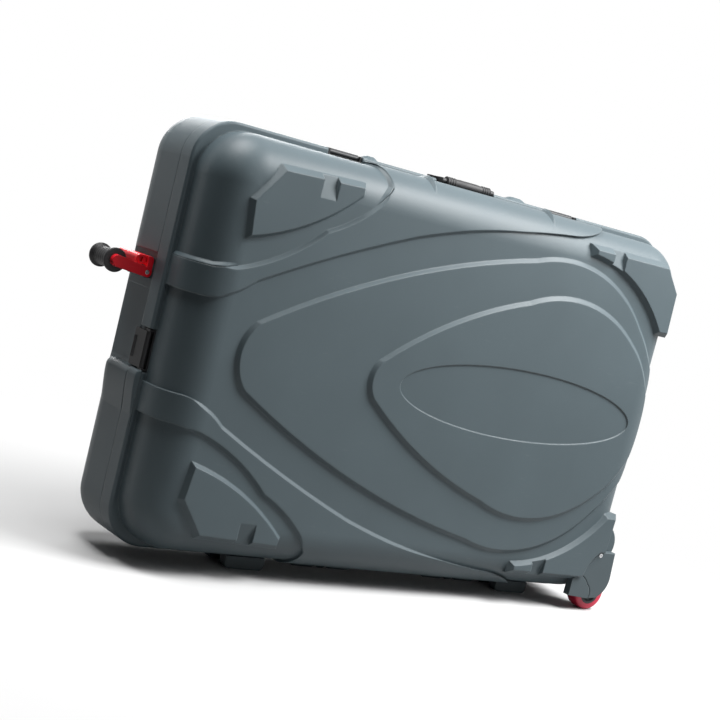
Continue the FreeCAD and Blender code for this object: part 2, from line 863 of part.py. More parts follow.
front_lugs, rear_lugs, pins = [], [], []
lug_offset = (s.hinge_lug_gap + s.hinge_lug_width) / 2
hinge_half = s.hinge_lug_gap / 2 + s.hinge_lug_width
for place, share in zip(("left", "right"), HINGE_PLACE_SHARES):
    hinge_x = share * half_length
    for end_name, end in (("left", -1), ("right", 1)):
        front_lugs.append(hinge_lug(f"{place}_hinge_{end_name}_lug", hinge_x + end * lug_offset,
                                    s.hinge_lug_width, FRONT, s.hinge_pin_radius + s.turn_gap))
    rear_lugs.append(hinge_lug(f"{place}_hinge_rear_lug", hinge_x, s.hinge_lug_gap - 2 * s.side_gap, REAR,
                               s.hinge_pin_radius))
    pins.append(bar(f"{place}_hinge_pin", "X", (hinge_x - hinge_half, 0, hinge_z), s.hinge_pin_radius,
                    2 * hinge_half))
finished(group("front_hinge_lugs", *front_lugs))
finished(group("rear_hinge_lugs", *rear_lugs))
finished(group("hinge_pins", *pins))


# Feet. Blocks with rounded lower corners under the rim of each half keep the hinges off the floor.


def foot(label, centre_x, facing):
    left, right = centre_x - s.foot_length / 2, centre_x + s.foot_length / 2
    corner = s.foot_round * (1 - DIAGONAL)
    outline = (
        (left, s.floor_gap),
        (left, s.foot_round),
        ((left + corner, corner), (left + s.foot_round, size(0))),
        (right - s.foot_round, size(0)),
        ((right - corner, corner), (right, s.foot_round)),
        (right, s.floor_gap),
        (left, s.floor_gap),
    )
    return pad(label, "XZ", facing * s.foot_inset, facing * (s.foot_inset + s.foot_width), outline)


for name, facing in SIDES:
    feet = [foot(f"{name}_{place}_foot", share * half_length, facing)
            for place, share in zip(("left", "right"), FOOT_PLACE_SHARES)]
    finished(group(f"{name}_feet", *feet))


# Latches. A base plate with two cheeks sits in the front rim's cut-out, and a lever on a steel pin
# reaches across the parting line to hook over a low strike in the rear rim. Each is drawn with
# x along the rim, y across the parting line and z out of the rim, and put in its place.

pocket_floor = -s.latch_pocket
latch_pin_z = pocket_floor + s.latch_pin_height
latch_half = s.latch_length / 2 - s.latch_clear
cheek_inner = latch_half - s.latch_cheek
lever_half = cheek_inner - s.side_gap


def latch_pin(label):
    return bar(label, "X", (-latch_half, -s.latch_pin_back, latch_pin_z), s.latch_pin_radius, 2 * latch_half)


def latch_base(label):
    plate = block(f"{label}_plate", (-latch_half, latch_half), (s.latch_clear - s.rim_band, -s.latch_clear),
                  (pocket_floor, pocket_floor + s.latch_plate))
    cheek_back = -s.latch_pin_back - s.latch_cheek_length / 2
    cheeks = [block(f"{label}_{end_name}_cheek", (end * cheek_inner, end * latch_half),
                    (cheek_back, cheek_back + s.latch_cheek_length), (pocket_floor, -s.lever_proud / 2))
              for end_name, end in (("left", -1), ("right", 1))]
    return cut(label, fuse(f"{label}_blank", plate, *cheeks), latch_pin(f"{label}_bore"))


def latch_lever(label):
    under = s.lever_proud - s.lever_thickness
    hook_tip = pocket_floor + s.strike_height + s.hook_clear
    hook_end = s.hook_start + s.hook_thickness
    profile = pad(f"{label}_plate", "YZ", -lever_half, lever_half, polygon(
        (-s.latch_pin_back, s.lever_proud),
        (s.lever_reach - s.hook_thickness, s.lever_proud),
        (s.lever_reach, under),
        (hook_end, under),
        (hook_end, hook_tip),
        (s.hook_start, hook_tip),
        (s.hook_start, under),
        (-s.latch_pin_back, under),
    ))
    start = (-lever_half, -s.latch_pin_back, latch_pin_z)
    barrel = bar(f"{label}_barrel", "X", start, s.latch_barrel, 2 * lever_half)
    bore = bar(f"{label}_bore", "X", start, s.latch_pin_radius + s.turn_gap, 2 * lever_half)
    return cut(label, fuse(f"{label}_blank", profile, barrel), bore)


def latch_strike(label):
    half = s.strike_length / 2
    return block(label, (-half, half), (s.strike_start, s.hook_start - s.hook_clear),
                 (pocket_floor, pocket_floor + s.strike_height))


def latch_rivets(label):
    foot_z = pocket_floor + s.latch_plate
    return [bar(f"{label}_{end_name}", "Z", (end * s.rivet_spread, -s.hook_start, foot_z), s.rivet_radius,
                s.rivet_height)
            for end_name, end in (("left", -1), ("right", 1))]


bases, latch_pins, strikes, rivets = [], [], [], []
for name, place in latch_places:
    bases.append(seat(latch_base(f"{name}_latch_base"), *place))
    latch_pins.append(seat(group(f"{name}_latch_pin", latch_pin(f"{name}_pin_bar")), *place))
    strikes.append(seat(group(f"{name}_strike", latch_strike(f"{name}_strike_bar")), *place))
    rivets.append(seat(group(f"{name}_rivets", *latch_rivets(f"{name}_rivet")), *place))
    finished(seat(latch_lever(f"{name}_lever"), *place))
finished(group("latch_bases", *bases))
finished(group("latch_pins", *latch_pins))
finished(group("latch_strikes", *strikes))
finished(group("latch_rivets", *rivets))


# Carry handle. A U-shaped frame with a ribbed soft grip folds forward into a notch in the top rim,
# on two pins held by brackets in the notch.

carry_y = -s.carry_pivot_back
carry_z = rim_top - s.carry_pivot_drop
carry_wall = s.carry_span / 2
carry_arm_outer = carry_wall - s.side_gap - s.carry_bracket_width
carry_arm_inner = carry_arm_outer - s.carry_arm_width
carry_grip_y = carry_y - s.carry_arm
HANDLE_ENDS = (("left", -1), ("right", 1))


def carry_pin(label, end):
    start = min(end * carry_arm_inner, end * carry_wall)
    return bar(label, "X", (carry_x + start, carry_y, carry_z), s.carry_pin_radius,
               carry_wall - carry_arm_inner)


def carry_bracket(label, end):
    half_depth = s.carry_bracket_depth / 2
    solid = block(f"{label}_block",
                  (carry_x + end * (carry_wall - s.carry_bracket_width), carry_x + end * carry_wall),
                  (carry_y - half_depth, carry_y + half_depth),
                  (rim_top - s.rim_step, carry_z + s.carry_barrel))
    return cut(label, solid, carry_pin(f"{label}_bore", end))


def carry_frame():
    """Two arms with round ends, joined by the bar inside the grip."""
    core = bar("carry_core", "X", (carry_x - carry_arm_outer, carry_grip_y, carry_z), s.carry_core_radius,
               2 * carry_arm_outer)
    arms, bores = [], []
    low, high = carry_z - s.carry_barrel, carry_z + s.carry_barrel
    outline = (
        (carry_y, high),
        (carry_grip_y, high),
        ((carry_grip_y - s.carry_barrel, carry_z), (carry_grip_y, low)),
        (carry_y, low),
        ((carry_y + s.carry_barrel, carry_z), (carry_y, high)),
    )
    for name, end in HANDLE_ENDS:
        start, stop = sorted((carry_x + end * carry_arm_inner, carry_x + end * carry_arm_outer))
        arms.append(pad(f"carry_{name}_arm", "YZ", start, stop, outline))
        bores.append(bar(f"carry_{name}_bore", "X", (start, carry_y, carry_z),
                         s.carry_pin_radius + s.turn_gap, s.carry_arm_width))
    return cut("carry_frame", fuse("carry_frame_blank", core, *arms), *bores)


def carry_grip():
    """A sleeve on the frame, with a few rings standing up at each end."""
    half = carry_arm_inner - s.side_gap
    low, high = s.carry_grip_radius - s.carry_rib, s.carry_grip_radius
    left_side = []
    for k in range(CARRY_RIB_COUNT):
        ring = k * s.carry_rib_pitch - half
        left_side += [(ring, high), (ring + s.carry_rib_width, high), (ring + s.carry_rib_width, low)]
        left_side += [(ring + s.carry_rib_pitch, low)]
    right_side = [(-x, radius) for x, radius in reversed(left_side)]
    outline = polygon((-half, s.carry_core_radius), *left_side, *right_side, (half, s.carry_core_radius))
    return seat(turned("carry_grip", "H_Axis", outline), carry_x, carry_grip_y, carry_z)


finished(group("carry_brackets", *[carry_bracket(f"carry_{name}_bracket", end) for name, end in HANDLE_ENDS]))
finished(group("carry_pins", *[carry_pin(f"carry_{name}_pin", end) for name, end in HANDLE_ENDS]))
finished(carry_frame())
finished(carry_grip())


# Pull handle. Two red arms swing on a pin in the bay of the handle end. A slotted bridge joins them
# above the pin, a bar joins their tips, and a thick soft grip with end rings sits on that bar.

pull_x = -half_length - s.pull_pivot_out
pull_z = middle_z + s.pull_height_above_middle
bay_floor_x = s.bay_depth - half_length
plate_x = bay_floor_x - s.pull_plate_thickness
pull_grip_x = pull_x - s.pull_arm_length
pull_grip_z = pull_z + s.pull_grip_lift
pull_arm_faces = (s.pull_arm_spread - s.pull_arm_thickness) / 2
pull_arm_starts = (("near", s.pull_centre_y - pull_arm_faces - s.pull_arm_thickness),
                   ("far", s.pull_centre_y + pull_arm_faces))


def pull_pin(label):
    length = s.pull_arm_spread + s.pull_arm_thickness
    return bar(label, "Y", (pull_x, s.pull_centre_y - length / 2, pull_z), s.pull_pin_radius, length)


def pull_base():
    """A plate on the floor of the bay with two ears for the pin."""
    half_width = s.pull_plate_width / 2
    plate = block("pull_plate", (plate_x, bay_floor_x),
                  (s.pull_centre_y - half_width, s.pull_centre_y + half_width),
                  (pull_z - s.pull_plate_height / 2, pull_z + s.pull_plate_height / 2))
    ears = []
    ear_face = pull_arm_faces - s.side_gap
    for name, start in (("near", s.pull_centre_y - ear_face),
                        ("far", s.pull_centre_y + ear_face - s.pull_ear_thickness)):
        ears.append(block(f"pull_{name}_ear", (pull_x, plate_x), (start, start + s.pull_ear_thickness),
                          (pull_z - s.pull_ear_height / 2, pull_z + s.pull_ear_height / 2)))
        ears.append(bar(f"pull_{name}_nose", "Y", (pull_x, start, pull_z), s.pull_barrel,
                        s.pull_ear_thickness))
    return cut("pull_handle_base", fuse("pull_base_blank", plate, *ears), pull_pin("pull_base_bore"))


def pull_bridge():
    """The slotted bridge above the pin, on a post at each arm."""
    left, right = pull_x - s.pull_bridge_out, pull_x + s.pull_bridge_back
    low, high = pull_z + s.pull_bridge_bottom, pull_z + s.pull_bridge_top
    corner = s.pull_bridge_round * (1 - DIAGONAL)
    shoulder = high - s.pull_bridge_round
    outer_top = ((left, shoulder), ((left + corner, high - corner), (left + s.pull_bridge_round, high)))
    inner_top = ((right - s.pull_bridge_round, high), ((right - corner, high - corner), (right, shoulder)))
    near_y = pull_arm_starts[0][1] + s.pull_arm_thickness / 2
    far_end = pull_arm_starts[1][1] + s.pull_arm_thickness / 2
    outline = ((left, low),) + outer_top + inner_top + ((right, low), (left, low))
    beam = pad("pull_beam", "XZ", near_y, far_end, outline)
    post_left = right - s.pull_post_width
    post_outline = ((post_left, pull_z), (post_left, high)) + inner_top
    post_outline += ((right, pull_z), (post_left, pull_z))
    posts = [pad(f"pull_{name}_post", "XZ", start, start + s.pull_arm_thickness, post_outline)
             for name, start in pull_arm_starts]
    middle_x, middle = (left + right) / 2, (low + high) / 2
    slots = []
    for name, side in (("outer", -1), ("inner", 1)):
        slot_x = middle_x + side * s.pull_slot_pitch / 2
        slots.append(block(f"pull_{name}_slot",
                           (slot_x - s.pull_slot_width / 2, slot_x + s.pull_slot_width / 2),
                           (near_y - s.overrun, near_y + s.pull_slot_depth),
                           (middle - s.pull_slot_length / 2, middle + s.pull_slot_length / 2)))
    return [cut("pull_slotted_beam", beam, *slots)] + posts


def pull_arms():
    """Two arms, each from the barrel on the pin to a round end on the grip, and what joins them."""
    low, high = pull_z - s.pull_barrel, pull_z + s.pull_barrel
    outline = (
        (pull_x, high),
        (pull_grip_x, pull_grip_z + s.pull_arm_tip),
        ((pull_grip_x - s.pull_arm_tip, pull_grip_z), (pull_grip_x, pull_grip_z - s.pull_arm_tip)),
        (pull_x, low),
        ((pull_x + s.pull_barrel, pull_z), (pull_x, high)),
    )
    arms, bores = [], []
    for name, start in pull_arm_starts:
        arms.append(pad(f"pull_{name}_arm", "XZ", start, start + s.pull_arm_thickness, outline))
        bores.append(bar(f"pull_{name}_bore", "Y", (pull_x, start, pull_z), s.pull_pin_radius + s.turn_gap,
                         s.pull_arm_thickness))
    core = bar("pull_core", "Y", (pull_grip_x, pull_arm_starts[0][1], pull_grip_z), s.pull_core_radius,
               s.pull_arm_spread + s.pull_arm_thickness)
    return cut("pull_handle_arms", fuse("pull_arms_blank", core, *arms, *pull_bridge()), *bores)


def pull_grip():
    """A thick sleeve that flares into a ring at each end."""
    half = pull_arm_faces - s.seat_gap
    ring, flare = half - s.pull_flange_width, half - 2 * s.pull_flange_width
    outline = polygon(
        (s.pull_core_radius, -half),
        (s.pull_flange_radius, -half),
        (s.pull_flange_radius, -ring),
        (s.pull_grip_radius, -flare),
        (s.pull_grip_radius, flare),
        (s.pull_flange_radius, ring),
        (s.pull_flange_radius, half),
        (s.pull_core_radius, half),
    )
    return seat(turned("pull_handle_grip", "V_Axis", outline), pull_grip_x, s.pull_centre_y, pull_grip_z)


finished(pull_base())
finished(group("pull_handle_pin", pull_pin("pull_pin_bar")))
finished(pull_arms())
finished(pull_grip())


# Wheels. One at the lower corner of each half: a tyre on a hub turns on an axle between an inner fork
# and a moulded outer cover, which a socket bolt holds, with a skid block ahead of it along a wavy seam.


def wheel_tyre(label):
    half = s.wheel_width / 2
    shoulder = s.wheel_radius - s.wheel_crown
    corner = s.wheel_crown * DIAGONAL
    outline = (
        (s.hub_radius, -half),
        (shoulder, -half),
        ((shoulder + corner, s.wheel_crown - half - corner), (s.wheel_radius, s.wheel_crown - half)),
        (s.wheel_radius, half - s.wheel_crown),
        ((shoulder + corner, half - s.wheel_crown + corner), (shoulder, half)),
        (s.hub_radius, half),
        (s.hub_radius, -half),
    )
    return turned(label, "V_Axis", outline)


def wheel_hub(label):
    half = s.wheel_width / 2
    web = half - s.hub_recess
    rim_inner = s.hub_radius - s.wheel_crown
    bore = s.axle_radius + s.turn_gap
    return turned(label, "V_Axis", polygon(
        (bore, -half),
        (s.hub_boss, -half),
        (s.hub_boss, -web),
        (rim_inner, -web),
        (rim_inner, -half),
        (s.hub_radius, -half),
        (s.hub_radius, half),
        (rim_inner, half),
        (rim_inner, web),
        (s.hub_boss, web),
        (s.hub_boss, half),
        (bore, half),
    ))


def axle(label, facing):
    low, high = sorted((facing * fork_back, facing * (cover_inner + s.cover_axle_depth)))
    return bar(label, "Y", (axle_x, low, axle_z), s.axle_radius, high - low)


def axle_bush(label, facing, inner):
    width = s.wheel_side_gap - s.seat_gap
    low = min(facing * inner, facing * (inner + width))
    ring = bar(f"{label}_ring", "Y", (axle_x, low, axle_z), s.bush_radius, width)
    return cut(label, ring, axle(f"{label}_bore", facing))


def wheel_fork(label, facing):
    """The inner cheek and the bridge over the wheel that the cover is bolted against."""
    x_range = (axle_x - s.fork_width / 2, axle_x + s.fork_width / 2)
    top = pocket_top
    cheek = block(f"{label}_cheek", x_range, (facing * fork_back, facing * fork_inner), (s.floor_gap, top))
    bridge = block(f"{label}_bridge", x_range, (facing * fork_back, facing * cover_inner),
                   (top - s.fork_thickness, top))
    return cut(label, fuse(f"{label}_blank", cheek, bridge), axle(f"{label}_bore", facing))


def bolt_bar(label, facing, depth, radius, length):
    """A round bar on the cover bolt's line, from a depth below the cover's face outwards."""
    x, z = cover_place(BOLT_PLACE_SHARE)
    floor = cover_outer - depth
    return bar(label, "Y", (x, min(facing * floor, facing * (floor + length)), z), radius, length)


def wheel_cover(label, facing):
    """The moulded block that closes the corner outside the wheel."""
    outline = cover_steps(COVER_TOP_SHARES + COVER_END_SHARES + COVER_SEAM_SHARES)
    plate = pad(f"{label}_plate", "XZ", facing * cover_inner, facing * cover_outer, outline)
    round_face(plate, facing * cover_outer, s.cover_edge_round)
    seat_hole = bolt_bar(f"{label}_bolt_seat", facing, s.bolt_head_height, s.bolt_head_radius + s.seat_gap,
                         s.bolt_head_height + s.overrun)
    return cut(label, plate, axle(f"{label}_bore", facing), seat_hole)


def cover_bolt(label, facing):
    head = bolt_bar(f"{label}_head", facing, s.bolt_head_height, s.bolt_head_radius, s.bolt_head_height)
    socket = bolt_bar(f"{label}_socket", facing, s.bolt_head_height / 2, s.bolt_socket_radius, s.overrun)
    return cut(label, head, socket)


def wheel_skid(label, facing):
    """A block ahead of the wheel that takes the knocks of steps and kerbs."""
    seam = cover_steps(COVER_END_SHARES[-1:] + COVER_SEAM_SHARES, s.seam_gap)
    low_corner, high_corner = (skid_left_x, s.skid_bottom), (skid_left_x, s.skid_top)
    outline = (low_corner,) + seam + (high_corner, low_corner)
    return pad(label, "XZ", facing * cover_inner, facing * cover_outer, outline)


for name, facing in SIDES:
    wheel_y = facing * wheel_from_parting
    finished(seat(wheel_tyre(f"{name}_wheel_tyre"), axle_x, wheel_y, axle_z))
    finished(seat(wheel_hub(f"{name}_wheel_hub"), axle_x, wheel_y, axle_z))
    finished(group(f"{name}_axle", axle(f"{name}_axle_bar", facing)))
    finished(group(f"{name}_axle_bushes", axle_bush(f"{name}_inner_bush", facing, fork_inner),
                   axle_bush(f"{name}_outer_bush", facing, cover_inner - s.wheel_side_gap + s.seat_gap)))
    finished(wheel_fork(f"{name}_wheel_fork", facing))
    finished(wheel_cover(f"{name}_wheel_cover", facing))
    finished(cover_bolt(f"{name}_cover_bolt", facing))
    finished(wheel_skid(f"{name}_wheel_skid", facing))


# Inside. A foam sheet lines each half, and two webbing straps with cam buckles hold the bicycle
# against the rear one, from anchor posts on the shell.

shell_inner = s.shell_depth - s.shell_wall
liner_out = shell_inner - s.seat_gap
liner_in = liner_out - s.liner_thickness
strap_out = liner_in - s.seat_gap
strap_in = strap_out - s.strap_thickness
buckle_out = strap_in - s.seat_gap
liner_half_x = half_length - s.liner_from_end
liner_half_z = half_height - s.liner_from_edge
strap_half = liner_half_z + s.strap_clear + s.anchor_length


def strap_block(label, x, width, y_range, z_range):
    return block(label, (x - width / 2, x + width / 2), y_range, z_range)


straps, buckles, anchors = [], [], []
for name, end in HANDLE_ENDS:
    x = end * s.strap_from_middle
    straps.append(strap_block(f"{name}_strap", x, s.strap_width, (strap_in, strap_out),
                              (middle_z - strap_half, middle_z + strap_half)))
    buckles.append(strap_block(f"{name}_buckle", x, s.buckle_width,
                               (buckle_out - s.buckle_thickness, buckle_out),
                               (middle_z - s.buckle_length / 2, middle_z + s.buckle_length / 2)))
    for level, side in (("upper", 1), ("lower", -1)):
        z_range = (middle_z + side * strap_half, middle_z + side * (strap_half - s.anchor_length))
        anchors.append(strap_block(f"{name}_{level}_anchor", x, s.strap_width, (strap_out, shell_inner),
                                   z_range))

for name, facing in SIDES:
    finished(slab(f"{name}_liner", liner_half_x, liner_half_z, s.liner_corner, facing * liner_in,
                  facing * liner_out))
finished(group("tie_straps", *straps))
finished(group("strap_buckles", *buckles))
finished(group("strap_anchors", *anchors))


# Check every piece, then write each one to its own file.

doc.recompute()
for piece in doc.Objects:
    if "Invalid" in piece.State or "Error" in piece.State:
        raise RuntimeError(f"{piece.Label} did not recompute")
for piece in nodes:
    if piece.Shape.isNull() or not piece.Shape.isValid():
        raise RuntimeError(f"{piece.Label} has no valid shape")

os.makedirs("parts", exist_ok=True)
for piece in nodes:
    piece.Shape.exportStep(os.path.join("parts", f"{piece.Label}.step"))
    print(piece.Label, len(piece.Shape.Solids), round(piece.Shape.Volume))
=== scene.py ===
import cmath
import math

import bmesh
import bpy
from mathutils import Matrix, Vector


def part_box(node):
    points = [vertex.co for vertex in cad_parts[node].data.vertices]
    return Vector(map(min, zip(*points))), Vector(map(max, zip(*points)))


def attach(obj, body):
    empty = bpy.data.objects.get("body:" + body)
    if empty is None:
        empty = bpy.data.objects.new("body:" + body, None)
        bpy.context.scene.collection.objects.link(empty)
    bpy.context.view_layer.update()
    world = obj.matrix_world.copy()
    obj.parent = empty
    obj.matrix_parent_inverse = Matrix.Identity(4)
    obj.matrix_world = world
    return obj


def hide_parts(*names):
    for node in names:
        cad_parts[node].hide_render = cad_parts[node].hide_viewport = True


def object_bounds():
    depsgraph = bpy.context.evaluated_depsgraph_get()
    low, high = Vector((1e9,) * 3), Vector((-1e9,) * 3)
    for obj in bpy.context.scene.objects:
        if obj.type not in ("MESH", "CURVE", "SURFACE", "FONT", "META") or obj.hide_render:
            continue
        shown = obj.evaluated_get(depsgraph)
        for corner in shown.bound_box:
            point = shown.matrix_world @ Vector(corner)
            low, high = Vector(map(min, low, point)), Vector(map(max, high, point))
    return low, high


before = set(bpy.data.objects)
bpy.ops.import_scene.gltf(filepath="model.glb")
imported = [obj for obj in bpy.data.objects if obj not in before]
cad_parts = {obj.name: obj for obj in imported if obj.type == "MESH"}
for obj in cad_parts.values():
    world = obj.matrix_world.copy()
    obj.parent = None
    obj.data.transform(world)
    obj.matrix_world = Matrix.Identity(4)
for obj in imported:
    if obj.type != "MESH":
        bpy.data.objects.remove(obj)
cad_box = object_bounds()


# Half shells. Two deep trays blown from dark grey-blue polyethylene, with raised bands, leaves and pads
# on their faces. The mould leaves a fine even grain, and handling rubs the edges a little paler.

class Signal:
    """A node's output that can be used in sums."""

    def __init__(self, nodes, socket):
        self.nodes = nodes
        self.socket = socket

    def maths(self, operation, first, second=0.0):
        return self.nodes.node("ShaderNodeMath", {"operation": operation}, {0: first, 1: second})

    def __add__(self, other):
        return self.maths("ADD", self, other)

    def __radd__(self, other):
        return self.maths("ADD", other, self)

    def __sub__(self, other):
        return self.maths("SUBTRACT", self, other)

    def __rsub__(self, other):
        return self.maths("SUBTRACT", other, self)

    def __mul__(self, other):
        return self.maths("MULTIPLY", self, other)

    def __rmul__(self, other):
        return self.maths("MULTIPLY", other, self)

    def wave(self, length):
        """A wave that repeats at a length along the signal."""
        return self.maths("SINE", self * (math.tau / length))


class Nodes:
    """A tree of shader nodes."""

    def __init__(self, tree):
        self.tree = tree

    def node(self, kind, settings=None, sockets=None, output=0):
        """Adds a node: its settings first, then the values or links of its sockets."""
        made = self.tree.nodes.new(kind)
        for name, value in (settings or {}).items():
            setattr(made, name, value)
        for socket, value in (sockets or {}).items():
            self.feed(made.inputs[socket], value)
        return Signal(self, made.outputs[output])

    def feed(self, socket, value):
        if isinstance(value, Signal):
            self.tree.links.new(value.socket, socket)
        else:
            socket.default_value = value

    def found(self, kind):
        return next(node for node in self.tree.nodes if node.bl_idname == kind)

    def spread(self, value, low, high, to_low=0.0, to_high=1.0):
        """A value stretched from one range to another and held inside it."""
        sockets = {"Value": value, "From Min": low, "From Max": high, "To Min": to_low, "To Max": to_high}
        return self.node("ShaderNodeMapRange", {"clamp": True}, sockets)


class Finish(Nodes):
    """A surface finish round one principled shader, measured in metres over the piece."""

    def __init__(self, name, **constants):
        self.material = bpy.data.materials.new(name)
        self.material.use_nodes = True
        super().__init__(self.material.node_tree)
        self.shader = self.found("ShaderNodeBsdfPrincipled")
        self.place = self.node("ShaderNodeTexCoord", output="Object")
        self.set(**constants)

    def set(self, **values):
        """Sets or links the shader's sockets."""
        for socket, value in values.items():
            self.feed(self.shader.inputs[socket.replace("_", " ")], value)

    def noise(self, size, detail=2.0, rough=0.5, place=None):
        """Cloudy noise whose lumps have about the given size."""
        return self.node("ShaderNodeTexNoise", None, {
            "Vector": place or self.place, "Scale": 1 / size, "Detail": detail, "Roughness": rough})

    def stretched(self, x, y, z):
        """The place on the piece, stretched along each axis."""
        return self.node("ShaderNodeVectorMath", {"operation": "MULTIPLY"}, {0: self.place, 1: (x, y, z)})

    def along(self):
        """The place on the piece as three separate lengths."""
        return [self.node("ShaderNodeSeparateXYZ", None, {0: self.place}, output=axis) for axis in "XYZ"]

    def blend(self, factor, first, second):
        """A colour between two others."""
        first, second = (list(c) + [1] if isinstance(c, (tuple, list)) else c for c in (first, second))
        return self.node("ShaderNodeMix", {"data_type": "RGBA"}, {0: factor, 6: first, 7: second}, output=2)

    def soft_edge(self, radius):
        """The surface's normal, turned smoothly over its edges."""
        return self.node("ShaderNodeBevel", {"samples": 8}, {"Radius": radius})

    def edges(self, soft):
        """1 where the softened normal leaves the true one, which is at edges."""
        first_turn, full_turn = 0.01, 0.22
        flat = self.node("ShaderNodeNewGeometry", output="Normal")
        alike = self.node("ShaderNodeVectorMath", {"operation": "DOT_PRODUCT"}, {0: soft, 1: flat},
                          output="Value")
        return self.spread(1 - alike, first_turn, full_turn)

    def bump(self, height, depth, normal=None, strength=1.0):
        """A normal that follows a height of the given depth, on top of another normal."""
        sockets = {"Height": height, "Distance": depth, "Strength": strength}
        if normal is not None:
            sockets["Normal"] = normal
        return self.node("ShaderNodeBump", None, sockets)


def moulded(name, colour, pale, edge_radius, grain_size, grain_depth, rough, rub=0.5):
    """Moulded plastic: a fine grain, a cloudy sheen, faint scuffs and edges that rub paler."""
    cloud_size, patch_size, scuff_width, scuff_stretch = 0.16, 0.018, 0.004, 0.12
    dark_cloud, light_cloud, speckle_shade, faint = 0.88, 1.12, 0.7, 0.25
    finish = Finish(name, Specular_IOR_Level=0.3)
    clouds = finish.noise(cloud_size, detail=3.0)
    grain = finish.noise(grain_size, rough=0.65)
    patches = finish.noise(patch_size, detail=3.0)
    scuffs = finish.noise(scuff_width, place=finish.stretched(scuff_stretch, 1.0, 1.0))
    soft = finish.soft_edge(edge_radius)
    rubbed = finish.edges(soft) * finish.spread(patches, 0.35, 0.65) * rub
    scuffed = finish.spread(scuffs, 0.66, 0.74) * finish.spread(clouds, 0.5, 0.7) * faint
    body = finish.blend(clouds, [c * dark_cloud for c in colour], [c * light_cloud for c in colour])
    speckled = finish.blend(finish.spread(grain, 0.3, 0.8) * faint, body, [c * speckle_shade for c in colour])
    finish.set(
        Base_Color=finish.blend(rubbed + scuffed, speckled, pale),
        Roughness=rough + 0.10 * clouds + 0.06 * grain - 0.10 * rubbed,
        Normal=finish.bump(grain, grain_depth, soft, strength=0.6),
    )
    return finish.material


def paint(material, *nodes):
    """Gives CAD nodes their finish."""
    for name in nodes:
        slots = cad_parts[name].data.materials
        slots.clear()
        slots.append(material)


shell_plastic = moulded("shell_polyethylene", colour=(0.076, 0.102, 0.114), pale=(0.17, 0.20, 0.21),
                        edge_radius=0.0034, grain_size=0.0012, grain_depth=0.0003, rough=0.37)
paint(shell_plastic, "front_shell", "rear_shell")


# Rim seal. A strip of black foam rubber with a domed face, pressed into a rabbet round the rear rim, and
# squeezed by the front rim when the case is shut.

def soft_rubber(name, colour, rough, grain_size, grain_depth):
    """Soft black rubber: a dull skin with a fine grain, a little dusty."""
    dust_size, dustiness, dust_paler, dust_added = 0.03, 0.6, 1.9, 0.004
    finish = Finish(name, Specular_IOR_Level=0.35)
    grain = finish.noise(grain_size, detail=3.0, rough=0.6)
    dust = finish.spread(finish.noise(dust_size, detail=4.0), 0.45, 0.75)
    finish.set(
        Base_Color=finish.blend(dust * dustiness, colour, [c * dust_paler + dust_added for c in colour]),
        Roughness=rough + 0.15 * dust,
        Normal=finish.bump(grain, grain_depth),
    )
    return finish.material


def make_piece(name, points, faces, material, body, slot, *nodes):
    """A smooth mesh that moves with a body and stands for CAD nodes, if any."""
    sharpest = math.radians(38)
    mesh = bpy.data.meshes.new(name)
    mesh.from_pydata([tuple(point) for point in points], [], faces)
    form = bmesh.new()
    form.from_mesh(mesh)
    bmesh.ops.recalc_face_normals(form, faces=form.faces)
    form.to_mesh(mesh)
    form.free()
    mesh.shade_smooth()
    mesh.set_sharp_from_angle(angle=sharpest)
    mesh.materials.append(material)
    piece = bpy.data.objects.new(name, mesh)
    bpy.context.scene.collection.objects.link(piece)
    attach(piece, body)
    if nodes:
        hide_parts(*nodes)
    return piece


def ring_faces(rings, around, closed):
    """Quads between rings of points, one after another, and from the last to the first where closed."""
    faces = []
    for ring in range(rings if closed else rings - 1):
        here, there = ring * around, (ring + 1) % rings * around
        for k in range(around):
            turn = (k + 1) % around
            faces.append((here + k, here + turn, there + turn, there + k))
    return faces


def seal_strip():
    """The strip round the rim: a domed section carried along the straights and corners."""
    (left, face, bottom), (right, base, top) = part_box("rim_seal")
    width, corner, corner_steps = 0.0033, 0.0883, 18
    domed = [(0.0, 1.0), (1.0, 1.0), (1.0, 0.45), (0.86, 0.16), (0.5, 0.0), (0.14, 0.16), (0.0, 0.45)]
    points = []
    for turn, (x, z) in enumerate(((right, top), (left, top), (left, bottom), (right, bottom))):
        centre_x = x - corner if x == right else x + corner
        centre_z = z - corner if z == top else z + corner
        for k in range(corner_steps + 1):
            angle = math.radians(90 * (turn + k / corner_steps))
            for inward, deep in domed:
                reach = corner - inward * width
                points.append((centre_x + reach * math.cos(angle), face + deep * (base - face),
                               centre_z + reach * math.sin(angle)))
    faces = ring_faces(len(points) // len(domed), len(domed), True)
    make_piece("rim_seal_strip", points, faces, seal_rubber, "rear_half", "seal_rubber", "rim_seal")


seal_rubber = soft_rubber("seal_foam_rubber", colour=(0.016, 0.016, 0.017), rough=0.72,
                          grain_size=0.0012, grain_depth=0.0002)
seal_strip()


# Hinges and feet. The same plastic as the shells, moulded as separate lugs and blocks and welded under
# the rim. They drag on the floor, so their edges are rubbed further.

worn_plastic = moulded("worn_polyethylene", colour=(0.072, 0.094, 0.104), pale=(0.20, 0.22, 0.23),
                       edge_radius=0.0022, grain_size=0.0012, grain_depth=0.0003, rough=0.44, rub=0.9)
paint(worn_plastic, "front_hinge_lugs", "rear_hinge_lugs", "front_feet", "rear_feet")


# Raised forms of the shells. Two low humps on the rear rim, two gussets that run from the front rim over
# the top, the shoulder below the bay of the pull handle, and the soft edge of the upper band. All are
# moulded in one with their shell, in the same plastic.

def eased(value):
    """0 below 0, 1 above 1, and a smooth rise between."""
    value = min(1.0, max(0.0, value))
    return value * value * (3 - 2 * value)


def plateau(share, ramp):
    """A rise at each end of a stretch, with 1 between."""
    return eased(min(share, 1 - share) / ramp)


